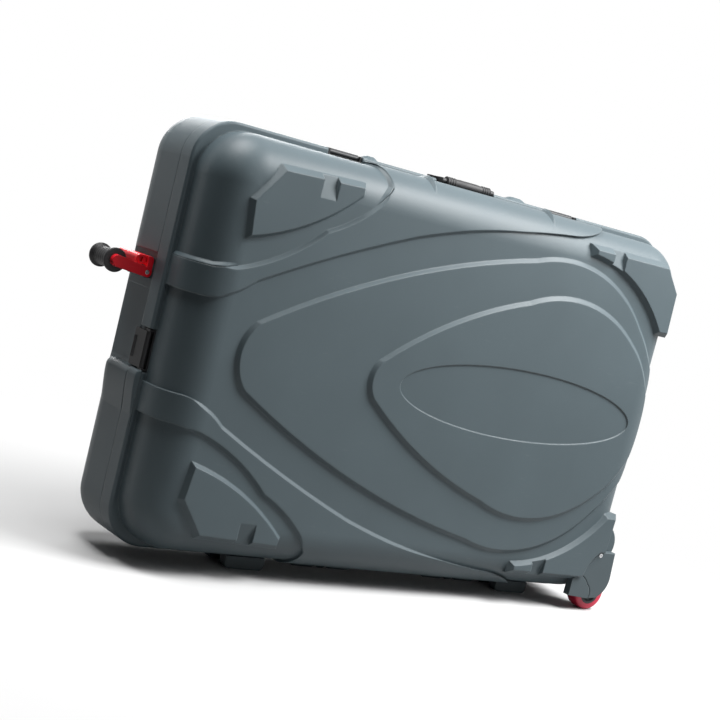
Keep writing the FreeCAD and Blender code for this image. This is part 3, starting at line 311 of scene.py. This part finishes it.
def skin_faces(columns, rows):
    """The faces of a closed form whose outer grid of points is followed by an inner one."""
    width = columns + 1
    count = width * (rows + 1)
    faces = []
    for row in range(rows):
        for column in range(columns):
            a = row * width + column
            faces.append((a, a + 1, a + width + 1, a + width))
            faces.append((count + a, count + a + width, count + a + width + 1, count + a + 1))
    edge = list(range(columns)) + [row * width + columns for row in range(rows)]
    edge += [rows * width + column for column in range(columns, 0, -1)]
    edge += [row * width for row in range(rows, 0, -1)]
    for a, b in zip(edge, edge[1:] + edge[:1]):
        faces.append((a, b, count + b, count + a))
    return faces


def raised_form(name, body, columns, rows, outer, inner):
    """A moulded form between an outer and an inner skin, each given over shares along and across."""
    places = [(column / columns, row / rows) for row in range(rows + 1) for column in range(columns + 1)]
    points = [outer(*place) for place in places] + [inner(*place) for place in places]
    make_piece(name, points, skin_faces(columns, rows), shell_plastic, body, "shell_plastic")


middle_offset = 0.041
case_middle = (cad_box[0][0] + cad_box[1][0]) / 2 + middle_offset
rim_top, parting_middle = 0.815, 0.420
half_length, half_height, tub_corner = 0.590, 0.395, 0.088
rim_step, rim_front, front_face, front_round = 0.013, -0.040, -0.145, 0.074
band_relief, hidden = 0.006, 0.0006


def rim_hump(name, start, end):
    """A low rounded hump on the rear half's rim, from one place along it to another."""
    near, far, height, sunk, edge_sunk = 0.004, 0.036, 0.0085, 0.003, 0.0005
    long_ramp, cross_ramp = 0.38, 0.4

    def place(along, across, rise):
        return case_middle + start + along * (end - start), near + across * (far - near), rim_top + rise

    def rise(along, across):
        return height * plateau(along, long_ramp) * plateau(across, cross_ramp) - edge_sunk

    raised_form(name, "rear_half", columns=24, rows=16,
                outer=lambda along, across: place(along, across, rise(along, across)),
                inner=lambda along, across: place(along, across, -sunk))


def rim_gusset(name, middle):
    """A crested rib that runs from the front rim over the rounding of the top, where the band covers it."""
    crest, half_width, taper, lean, bend = 0.007, 0.0125, 0.6, -0.014, math.radians(52)
    start_share, risen, falls = 0.2, 0.4, 0.55
    flat = rim_front - front_face - front_round
    length = flat + front_round * bend

    def place(across, along, raised):
        run = along * length
        turn = max(0.0, run - flat) / front_round
        reach = front_round + raised
        x = case_middle + middle + lean * along + half_width * (1 - taper * along) * (2 * across - 1)
        y = rim_front - min(run, flat) - reach * math.sin(turn)
        return x, y, rim_top - rim_step - front_round + reach * math.cos(turn)

    def rise(across, along):
        climb = start_share + (1 - start_share) * eased(along / risen)
        ridge = climb * (1 - eased((along - falls) / (1 - falls)))
        return band_relief - hidden + crest * ridge * (1 - abs(2 * across - 1))

    raised_form(name, "front_half", columns=12, rows=32,
                outer=lambda across, along: place(across, along, rise(across, along)),
                inner=lambda across, along: place(across, along, band_relief / 2))


def end_shoulder(name, body, facing, reach, bay_depth, fade_share):
    """One half's part of the lip below the bay, which stands proud at its top and runs out down the end."""
    end_x, straight, end_round, parting_gap = case_middle - half_length, 0.075, 0.070, 0.0012
    top, bottom, proud = parting_middle - 0.0715, parting_middle - 0.175, 0.0075
    ramp_low, ramp_height, lip_share, under, thick = parting_middle - 0.110, 0.045, 0.14, 0.001, 0.0025

    def place(along, down, rise):
        run = parting_gap + along * reach
        turn = max(0.0, run - straight) / end_round
        y = min(run, straight) + end_round * math.sin(turn)
        x = end_x + end_round * (1 - math.cos(turn))
        return x - math.cos(turn) * rise, facing * (y + math.sin(turn) * rise), top + down * (bottom - top)

    def rise(along, down):
        turn = max(0.0, parting_gap + along * reach - straight) / end_round
        ramp = min(1.0, max(0.0, (top + down * (bottom - top) - ramp_low) / ramp_height))
        ground = -max(0.0, bay_depth * ramp - end_round * (1 - math.cos(turn))) / math.cos(turn) - under
        if down < lip_share:
            height = -bay_depth - under + (bay_depth + proud) * math.sqrt(1 - (1 - down / lip_share) ** 2)
        else:
            height = proud * (1 - eased((down - lip_share) / (1 - lip_share))) - under
        return ground + (height - ground) * (1 - eased((along - 1 + fade_share) / fade_share))

    raised_form(name, body, columns=48, rows=60,
                outer=lambda along, down: place(along, down, rise(along, down)),
                inner=lambda along, down: place(along, down, -bay_depth - thick))


def arc(first, through, last, steps):
    """Places along the arc from one place through another to a last one, without the first."""
    first, through, last = (complex(*place) for place in (first, through, last))
    ratio = (last - first) / (through - first)
    centre = first + (through - first) * (ratio - abs(ratio) ** 2) / (2j * ratio.imag)
    part, whole = (cmath.phase((place - centre) / (first - centre)) for place in (through, last))
    if part * whole < 0:
        whole += math.copysign(math.tau, part)
    turned = [centre + (first - centre) * cmath.rect(1, whole * (k + 1) / steps) for k in range(steps)]
    return [(place.real, place.imag) for place in turned]


def front_skin(x, z, raised):
    """The place on the front half's outside over a place on its face, raised a little, and its turn."""
    over_x = abs(x) - half_length + rim_step + tub_corner
    over_z = abs(z) - half_height + rim_step + tub_corner
    if over_x > 0 and over_z > 0:
        reach = math.hypot(over_x, over_z)
        out_x, out_z = over_x / reach, over_z / reach
    else:
        reach = max(over_x, over_z)
        out_x, out_z = (1.0, 0.0) if over_x > over_z else (0.0, 1.0)
    turn = math.asin(min(1.0, max(0.0, reach - tub_corner + front_round) / front_round))
    lift = front_round + raised
    start = front_round * math.sin(turn)
    return (case_middle + x + math.copysign(out_x, x) * (lift * math.sin(turn) - start),
            front_face + front_round - lift * math.cos(turn),
            parting_middle + z + math.copysign(out_z, z) * (lift * math.sin(turn) - start)), turn


def band_edge():
    """The soft slope from the upper band down to the body, where both round over to the end and the top."""
    width, thick, below_top, steps, across, side_steps = 0.010, 0.003, 0.0003, 40, 10, 8
    straight_share, low_share = -0.930, 0.360
    bends = (((-0.800, 0.420), (-0.590, 0.630)), ((-0.450, 0.765), (-0.376, 0.885)),
             ((-0.385, 0.955), (-0.430, 1.02)))
    end_x, top_z, low = rim_step - half_length, half_height - rim_step, low_share * half_height
    straight = straight_share * half_length - end_x
    path = [(end_x + straight * eased(k / steps), low) for k in range(steps + 1)]
    for through, last in bends:
        path += arc(path[-1], *((x * half_length, z * half_height) for x, z in (through, last)), steps)
    path = [place for place in path if place[1] < top_z]
    sides = [rim_front + (front_face + front_round - rim_front) * k / side_steps for k in range(side_steps)]
    count = len(path) + 2 * side_steps

    def place(along, out, raised):
        k = round(along * (count - 1))
        if k < side_steps:
            return (case_middle + end_x - raised, sides[k], parting_middle + low + out), math.pi / 2
        if k >= count - side_steps:
            x = case_middle + path[-1][0] - out
            return (x, sides[count - 1 - k], parting_middle + top_z + raised), math.pi / 2
        k -= side_steps
        before, after = path[max(0, k - 1)], path[min(len(path) - 1, k + 1)]
        run = math.hypot(after[0] - before[0], after[1] - before[1])
        x = path[k][0] - (after[1] - before[1]) / run * out
        z = path[k][1] + (after[0] - before[0]) / run * out
        return front_skin(x, z, raised)

    def slope(along, share):
        turn = place(along, 0.0, 0.0)[1]
        height = min(band_relief, front_round * (1 - math.cos(turn))) - below_top
        return place(along, share * width, (height + hidden) * (1 - eased(share)) - hidden)[0]

    raised_form("upper_band_edge", "front_half", columns=count - 1, rows=across, outer=slope,
                inner=lambda along, share: place(along, share * width, -thick)[0])


rim_hump("left_rim_hump", start=-0.210, end=-0.160)
rim_hump("right_rim_hump", start=0.155, end=0.228)
rim_gusset("left_rim_gusset", middle=-0.105)
rim_gusset("right_rim_gusset", middle=0.201)
end_shoulder("rear_end_shoulder", "rear_half", facing=1, reach=0.122, bay_depth=0.011, fade_share=0.28)
end_shoulder("front_end_shoulder", "front_half", facing=-1, reach=0.0385, bay_depth=0.0, fade_share=0.16)
band_edge()


# Steel pins, rivets and bolts. Drawn steel, cut and turned, with a bright zinc plating that dulls in
# patches.

def plated_steel():
    """Zinc-plated steel: bright, with duller smears and fine streaks."""
    streak_size, streak_depth, smear_size, edge_radius = 0.0024, 0.0001, 0.018, 0.0004
    finish = Finish("zinc_plated_steel", Metallic=1.0)
    streaks = finish.noise(streak_size, detail=3.0)
    smear = finish.noise(smear_size)
    finish.set(
        Base_Color=finish.blend(smear, (0.52, 0.53, 0.54), (0.72, 0.73, 0.74)),
        Roughness=0.22 + 0.18 * smear,
        Normal=finish.bump(streaks, streak_depth, finish.soft_edge(edge_radius), strength=0.3),
    )
    return finish.material


bright_steel = plated_steel()
paint(bright_steel, "hinge_pins", "latch_pins", "latch_rivets", "carry_pins", "pull_handle_pin", "front_axle",
      "rear_axle", "front_cover_bolt", "rear_cover_bolt")


# Latches. A black nylon base and strike sit in each cut-out of the rim, and a satin lever closes over
# them. The lever's tip has a few moulded ridges for the finger that lifts it.

black_nylon = moulded("black_nylon", colour=(0.013, 0.0135, 0.0145), pale=(0.045, 0.046, 0.048),
                      edge_radius=0.0010, grain_size=0.0009, grain_depth=0.0001, rough=0.38)
# The top levers' colour is near black: their own dark nylon, painted darker as painted shade from the pockets
# they lie in.
lever_nylon_and_painted_shade = moulded("lever_nylon_and_painted_shade", colour=(0.020, 0.022, 0.024), pale=(0.08, 0.085, 0.09),
                      edge_radius=0.0010, grain_size=0.0009, grain_depth=0.0001, rough=0.34)
# The end levers take the bases' black nylon, which paints the shade that the end latches lie in.
paint(black_nylon, "latch_bases", "latch_strikes", "left_end_lever", "right_end_lever")
paint(lever_nylon_and_painted_shade, "top_left_lever", "top_right_lever")


def rounded_blocks(boxes, radius):
    """Points and faces of blocks with rounded edges, each from its lowest to its highest corner."""
    form = bmesh.new()
    for low, high in boxes:
        low, high = Vector(low), Vector(high)
        place = Matrix.Translation((low + high) / 2) @ Matrix.Diagonal((*(high - low), 1))
        bmesh.ops.create_cube(form, size=1.0, matrix=place)
    bmesh.ops.bevel(form, geom=list(form.edges), offset=radius, segments=3, profile=0.5, affect="EDGES")
    form.verts.index_update()
    points = [vert.co.copy() for vert in form.verts]
    faces = [tuple(vert.index for vert in face.verts) for face in form.faces]
    form.free()
    return points, faces


def lever_ridges(name, slot, material):
    """Ridges across a lever's tip, on its outer face."""
    (left, _, low), (right, far, high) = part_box(name)
    half, width, height, edge_radius = 0.020, 0.0018, 0.0010, 0.0006
    first, pitch, count = 0.0075, 0.0036, 3
    over_top = high - low < right - left
    boxes = []
    for k in range(count):
        y = far - first - k * pitch
        if over_top:
            middle = (left + right) / 2
            boxes.append(((middle - half, y, high - height), (middle + half, y + width, high + height)))
        else:
            face, outward = (left, -1) if left < 0 else (right, 1)
            middle = (low + high) / 2
            ends = sorted((face - outward * height, face + outward * height))
            boxes.append(((ends[0], y, middle - half), (ends[1], y + width, middle + half)))
    make_piece(f"{name}_ridges", *rounded_blocks(boxes, edge_radius), material, name, slot)


for lever in ("top_left_lever", "top_right_lever"):
    lever_ridges(lever, "grey_plastic", lever_nylon_and_painted_shade)
for lever in ("left_end_lever", "right_end_lever"):
    lever_ridges(lever, "black_plastic", black_nylon)


# Carry handle. A black nylon frame on two pins in the top rim, with a soft sleeve moulded over its bar.
# The sleeve has a few rings at each end and a slight swell between them.

paint(black_nylon, "carry_brackets", "carry_frame")


def sleeve(name, node, axis, radius_at, bore, end_round, material, body, slot):
    """A sleeve turned about the middle of its CAD node: rounded ends, and a bore for what it sits on."""
    low, high = (Vector(corner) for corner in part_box(node))
    centre = (low + high) / 2
    half = (high[axis] - low[axis]) / 2
    around, step = 72, 0.0005
    steps = round(2 * half / step)
    outline = []
    for k in range(steps + 1):
        place = half * (2 * k / steps - 1)
        inset = max(0.0, abs(place) - half + end_round)
        drop = end_round - math.sqrt(max(0.0, end_round ** 2 - inset ** 2))
        outline.append((place, radius_at(place, half) - drop))
    outline += [(half, bore), (-half, bore)]
    points = []
    for place, radius in outline:
        for k in range(around):
            turn = math.tau * k / around
            across, up = radius * math.cos(turn), radius * math.sin(turn)
            points.append(centre + Vector((place, across, up) if axis == 0 else (across, place, up)))
    faces = ring_faces(len(outline), around, True)
    make_piece(name, points, faces, material, body, slot, node)


def carry_radius(place, half):
    """Rings at the ends, then a slight swell."""
    core, ring, pitch, ringed, flat_top = 0.0090, 0.0010, 0.0060, 0.0230, 1.3
    swell, swell_run = 0.0006, 0.012
    inward = half - abs(place)
    if inward < ringed:
        return core + ring * eased(flat_top - abs((inward % pitch) - pitch / 4) / (pitch / 4))
    return core + swell * eased((inward - ringed) / swell_run)


grip_rubber = soft_rubber("grip_rubber", colour=(0.015, 0.015, 0.016), rough=0.52,
                          grain_size=0.0011, grain_depth=0.0002)
sleeve("carry_grip_sleeve", "carry_grip", axis=0, radius_at=carry_radius, bore=0.0052,
       end_round=0.0012, material=grip_rubber, body="carry_handle", slot="soft_grip")


# Pull handle. A satin red nylon moulding of two arms and a slotted bridge swings on a steel pin in its
# base, and a thick soft grip with flared ends fills the space between the arms.

red_nylon = moulded("red_nylon", colour=(0.80, 0.012, 0.026), pale=(0.85, 0.16, 0.14),
                    edge_radius=0.0018, grain_size=0.0011, grain_depth=0.0001, rough=0.30)
paint(shell_plastic, "pull_handle_base")
paint(red_nylon, "pull_handle_arms")


def pull_radius(place, half):
    """A waist with shallow finger grooves, flaring into a thick ring at each end."""
    waist, groove, pitch, grooved = 0.0170, 0.0005, 0.0080, 0.018
    flare, flare_width, flare_run = 0.0050, 0.0125, 0.0075
    inward = half - abs(place)
    rise = flare * eased((flare_width - inward) / flare_run)
    dip = groove * (0.5 + 0.5 * math.cos(math.tau * place / pitch)) if abs(place) < grooved else 0.0
    return waist + rise - dip


sleeve("pull_handle_sleeve", "pull_handle_grip", axis=1, radius_at=pull_radius, bore=0.0082,
       end_round=0.0022, material=grip_rubber, body="pull_handle", slot="soft_grip")


# Wheels. A solid red polyurethane tyre is cast round a dark nylon hub and turns on a steel axle. A black
# fork carries the inner end of the axle, and a moulded cover with a socket bolt the outer one.

def cast_polyurethane():
    """Cast polyurethane: even and a little waxy, scuffed in patches."""
    cloud_size, grain_size, grain_depth, scuff_size, scuff_share = 0.02, 0.0016, 0.0002, 0.006, 0.35
    finish = Finish("red_polyurethane")
    clouds = finish.noise(cloud_size, detail=3.0)
    grain = finish.noise(grain_size, rough=0.6)
    scuffs = finish.spread(finish.noise(scuff_size, detail=4.0, rough=0.7), 0.55, 0.72)
    clean = finish.blend(clouds, (0.60, 0.020, 0.060), (0.70, 0.032, 0.080))
    finish.set(
        Base_Color=finish.blend(scuffs * scuff_share, clean, (0.40, 0.13, 0.15)),
        Roughness=0.38 + 0.22 * scuffs,
        Normal=finish.bump(grain, grain_depth, strength=0.5),
    )
    return finish.material


def tread_radius(place, half):
    """A tread with a slight crown and a fine mould line in the middle."""
    tread, crown, line, line_width = 0.0398, 0.0008, 0.0002, 0.0006
    return tread - crown * (place / half) ** 2 + line * eased(1 - abs(place) / line_width)


red_polyurethane = cast_polyurethane()
hub_nylon = moulded("hub_nylon", colour=(0.040, 0.043, 0.046), pale=(0.10, 0.10, 0.10),
                    edge_radius=0.0010, grain_size=0.0010, grain_depth=0.0001, rough=0.42)
for side in ("front", "rear"):
    sleeve(f"{side}_tyre", f"{side}_wheel_tyre", axis=1, radius_at=tread_radius, bore=0.0260,
           end_round=0.0050, material=red_polyurethane, body=f"{side}_wheel", slot="red_tyre")
    paint(hub_nylon, f"{side}_wheel_hub")
    paint(black_nylon, f"{side}_wheel_fork", f"{side}_axle_bushes")
    paint(worn_plastic, f"{side}_wheel_cover", f"{side}_wheel_skid")


# Foam liners. A sheet of dark grey foam with a waved face lies in each half, with rounded edges, and is
# held to the shell by its own adhesive back. It lies flat under the straps.

def open_foam():
    """Open-cell foam: a dull face pitted with tiny cells."""
    cells_per_metre, cell_depth, cloud_size = 520.0, 0.0006, 0.05
    finish = Finish("grey_foam", Specular_IOR_Level=0.15, Roughness=0.95)
    cells = finish.node("ShaderNodeTexVoronoi", None, {"Vector": finish.place, "Scale": cells_per_metre})
    clouds = finish.noise(cloud_size, detail=3.0)
    finish.set(
        Base_Color=finish.blend(clouds, (0.024, 0.025, 0.027), (0.042, 0.043, 0.046)),
        Normal=finish.bump(cells, cell_depth),
    )
    return finish.material


strap_low, strap_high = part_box("tie_straps")
strap_width = 0.038
strap_middles = [strap_low[0] + strap_width / 2, strap_high[0] - strap_width / 2]


def foam_liner(side, facing):
    """The foam sheet of one half: a waved face towards the inside, and a flat back."""
    low, high = (Vector(corner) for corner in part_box(f"{side}_liner"))
    middle, corner, cell = (low + high) / 2, 0.060, 0.006
    half_x, half_z = (high.x - low.x) / 2, (high.z - low.z) / 2
    thick = high.y - low.y
    back = high.y if facing > 0 else low.y
    columns, rows = round(2 * half_x / cell), round(2 * half_z / cell)
    wave, wave_length, edge, flat_under = 0.0020, 0.060, 0.006, 0.026
    face_points, back_points = [], []
    for row in range(rows + 1):
        for column in range(columns + 1):
            x, z = half_x * (2 * column / columns - 1), half_z * (2 * row / rows - 1)
            over_x, over_z = abs(x) - half_x + corner, abs(z) - half_z + corner
            if over_x > 0 and over_z > 0:
                reach = max(over_x, over_z) / math.hypot(over_x, over_z)
                x = math.copysign(half_x - corner + over_x * reach, x)
                z = math.copysign(half_z - corner + over_z * reach, z)
                inward = corner - max(over_x, over_z)
            else:
                inward = min(half_x - abs(x), half_z - abs(z))
            swell = wave * (1 - math.cos(math.tau * x / wave_length) * math.cos(math.tau * z / wave_length))
            if facing > 0 and min(abs(middle.x + x - strap) for strap in strap_middles) < flat_under:
                swell = 0.0
            fall = edge - math.sqrt(max(0.0, edge ** 2 - max(0.0, edge - inward) ** 2))
            height = thick - swell * eased(inward / (2 * edge)) - fall
            face_points.append((middle.x + x, back - facing * height, middle.z + z))
            back_points.append((middle.x + x, back, middle.z + z))
    liner = make_piece(f"{side}_foam_liner", face_points + back_points, skin_faces(columns, rows), grey_foam,
                       f"{side}_half", "foam", f"{side}_liner")


grey_foam = open_foam()
foam_liner("front", facing=-1)
foam_liner("rear", facing=1)


# Tie straps. Two lengths of black woven webbing run over the rear liner from post to post, each through
# a black cam buckle whose lever grips the strap.

def woven_webbing():
    """Flat woven webbing: ribs across the strap, crossed by its warp, a little faded, with painted highlights
    on the weave's crests and painted shade in its hollows.
    """
    rib_pitch, rib_share, warp_pitch, warp_share = 0.0017, 0.6, 0.0012, 0.4
    sway, sway_length, weave_depth, fade_size = 0.0003, 0.0024, 0.0003, 0.04
    finish = Finish("black_webbing", Specular_IOR_Level=0.3, Sheen_Weight=0.15)
    x, _, z = finish.along()
    ribs = (z + sway * x.wave(sway_length)).wave(rib_pitch)
    warp = x.wave(warp_pitch)
    weave = ribs * rib_share + warp * warp_share
    fade = finish.noise(fade_size, detail=3.0)
    # The weave's height also sets its colour: paler on the crests and darker in the hollows, a painted
    # highlight and painted shade over thread of one black.
    raised = finish.spread(weave, -0.8, 0.8)
    finish.set(
        Base_Color=finish.blend(raised, (0.008, 0.008, 0.009), (0.030, 0.030, 0.032)),
        Roughness=0.72 + 0.12 * fade,
        Normal=finish.bump(weave, weave_depth),
    )
    return finish.material


def webbing_strap(name, middle_x):
    """A flat strap with rounded edges that dips a little between its posts and the buckle."""
    half, thick, steps, dip = strap_width / 2, 0.0016, 96, 0.0003
    section = [(-1.0, 0.0), (-0.985, -0.8), (-0.94, -1.0), (0.94, -1.0), (0.985, -0.8),
               (1.0, 0.0), (0.985, 0.8), (0.94, 1.0), (-0.94, 1.0), (-0.985, 0.8)]
    centre_y = (strap_low[1] + strap_high[1]) / 2
    length = strap_high[2] - strap_low[2]
    points = []
    for k in range(steps + 1):
        z = strap_low[2] + length * k / steps
        y = centre_y - dip * math.cos(2 * math.tau * k / steps)
        points += [(middle_x + across * half, y + out * thick / 2, z) for across, out in section]
    around = len(section)
    faces = ring_faces(steps + 1, around, False)
    faces += [tuple(range(around)), tuple(steps * around + k for k in reversed(range(around)))]
    strap = make_piece(name, points, faces, black_webbing, "rear_half", "webbing", "tie_straps")


def cam_buckle(name, middle_x):
    """A frame of two rails and three bars, with a cam lever between them."""
    low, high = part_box("strap_buckles")
    near, far, bottom, top = low[1], high[1], low[2], high[2]
    half, rail, bar, bar_inset, back_inset, edge_radius = 0.025, 0.005, 0.006, 0.0015, 0.0005, 0.0012
    lever_drop, lever_proud, lever_thick, lever_gap = 0.004, 0.0005, 0.0035, 0.002
    bar_drop, side_gap = 0.009, 0.001
    left, right, overlap = middle_x - half + rail, middle_x + half - rail, rail / 2
    lever_low = (bottom + top) / 2 - lever_drop
    boxes = [((middle_x - half, near, bottom), (left, far, top)),
             ((right, near, bottom), (middle_x + half, far, top))]
    for z in (bottom, lever_low - bar_drop, top - bar):
        boxes.append(((left - overlap, near + bar_inset, z), (right + overlap, far - back_inset, z + bar)))
    boxes.append(((left + side_gap, near - lever_proud, lever_low),
                  (right - side_gap, near + lever_thick, top - bar - lever_gap)))
    points, faces = rounded_blocks(boxes, edge_radius)
    make_piece(name, points, faces, black_nylon, "rear_half", "black_plastic", "strap_buckles")


black_webbing = woven_webbing()
for side, middle in zip(("left", "right"), strap_middles):
    webbing_strap(f"{side}_tie_strap", middle)
    cam_buckle(f"{side}_cam_buckle", middle)
paint(black_nylon, "strap_anchors")


# Stage. A pale paper floor that fades into a white studio and clears over a half that opens below it.
# Soft lamps stand above, to the right and behind, with black flags on the left, and the camera is low at
# the handle end, tilted as the case is held.

air_light = 0.08


def seen_or_dim(nodes, dim):
    """1 for a ray that shows the studio, directly, in a gloss or through glass, and a dim level for light."""
    seen = sum((nodes.node("ShaderNodeLightPath", output=ray)
                for ray in ("Is Camera Ray", "Is Glossy Ray", "Is Transmission Ray")), 0.0)
    return nodes.spread(seen, 0.0, 1.0, dim, 1.0)


def stage_panel(name, corners, material):
    """A flat sheet of the studio, from its four corners."""
    mesh = bpy.data.meshes.new(name)
    mesh.from_pydata(corners, [], [(0, 1, 2, 3)])
    mesh.materials.append(material)
    panel = bpy.data.objects.new(name, mesh)
    bpy.context.scene.collection.objects.link(panel)
    return panel


def studio_paper():
    """Pale paper that turns into the studio's white further out, and clears over what lies below it."""
    near, far, deepest, covered, free = 0.6, 1.5, 1.0, 0.96, 0.999
    paper = Finish("studio_paper", Roughness=0.9)
    paper.set(Base_Color=paper.blend(seen_or_dim(paper, 0.0), (0.22, 0.22, 0.22), (0.66, 0.66, 0.66)))
    distance = paper.node("ShaderNodeVectorMath", {"operation": "LENGTH"}, {0: paper.place}, output="Value")
    glow = paper.node("ShaderNodeEmission", None, {
        "Color": (1, 1, 1, 1), "Strength": seen_or_dim(paper, air_light)})
    lit = Signal(paper, paper.shader.outputs[0])
    mixed = paper.node("ShaderNodeMixShader", None, {0: paper.spread(distance, near, far), 1: lit, 2: glow})
    down = paper.node("ShaderNodeCombineXYZ", None, {"Z": -1.0})
    free_below = paper.node("ShaderNodeAmbientOcclusion", {"samples": 20},
                            {"Distance": deepest, "Normal": down}, output="AO")
    unshaded = 1 - paper.node("ShaderNodeLightPath", output="Is Shadow Ray")
    cleared = paper.node("ShaderNodeBsdfTransparent")
    laid = paper.node("ShaderNodeMixShader", None, {
        0: paper.spread(free_below, covered, free) * unshaded, 1: cleared, 2: mixed})
    paper.feed(paper.found("ShaderNodeOutputMaterial").inputs["Surface"], laid)
    return paper.material


def studio_air():
    """The studio's white air, which looks bright but gives little light."""
    world = bpy.data.worlds.new("studio_air")
    bpy.context.scene.world = world
    world.use_nodes = True
    air = Nodes(world.node_tree)
    background = air.found("ShaderNodeBackground")
    background.inputs["Color"].default_value = (1, 1, 1, 1)
    air.feed(background.inputs["Strength"], seen_or_dim(air, air_light))


def lamp(name, place, aim, size, watts):
    """A soft lamp with a flat face, turned to what it lights."""
    light = bpy.data.lights.new(name, "AREA")
    light.shape = "RECTANGLE"
    light.size, light.size_y = size
    light.energy = watts
    holder = bpy.data.objects.new(name, light)
    bpy.context.scene.collection.objects.link(holder)
    holder.location = place
    holder.rotation_euler = (Vector(aim) - Vector(place)).to_track_quat("-Z", "Y").to_euler()


floor_reach = 30.0
stage_panel("studio_floor", [(-floor_reach, -floor_reach, 0), (floor_reach, -floor_reach, 0),
                             (floor_reach, floor_reach, 0), (-floor_reach, floor_reach, 0)], studio_paper())
studio_air()
black_cloth = Finish("black_flag_cloth", Roughness=1.0, Specular_IOR_Level=0.0,
                     Base_Color=(0.01, 0.01, 0.01, 1)).material
for name, near_end, far_end, top in (("left_flag", (-2.6, -4.5), (-2.6, 1.6), 2.6),
                                     ("low_flag", (-2.6, 2.2), (-0.9, 2.2), 0.42)):
    flag = stage_panel(name, [(*near_end, 0), (*far_end, 0), (*far_end, top), (*near_end, top)], black_cloth)
    flag.visible_camera = False
lamp("main_softbox", place=(0.95, -0.95, 2.15), aim=(0.2, -0.1, 0.5), size=(1.5, 0.8), watts=82)
lamp("handle_softbox", place=(-0.8, 0.0, 2.1), aim=(-0.5, 0.0, 0.7), size=(1.0, 0.7), watts=32)
lamp("right_softbox", place=(1.5, -1.1, 1.5), aim=(0.5, 0.0, 0.6), size=(0.8, 0.8), watts=24)
lamp("back_softbox", place=(0.4, 2.0, 1.5), aim=(0.0, 0.15, 0.4), size=(1.5, 0.9), watts=30)

camera_data = bpy.data.cameras.new("photo_camera")
camera_data.lens = 77.43
camera_data.sensor_width = 36.0
camera_data.shift_x = 0.0044
camera_data.shift_y = 0.0810
camera_data.clip_end = 100.0
camera = bpy.data.objects.new("photo_camera", camera_data)
bpy.context.scene.collection.objects.link(camera)
camera.location = (-1.83614, -2.47978, 0.69607)
camera.rotation_euler = [math.radians(turn) for turn in (82.765, -14.0757, -34.2244)]
bpy.context.scene.camera = camera

bpy.context.scene.view_settings.view_transform = "Standard"
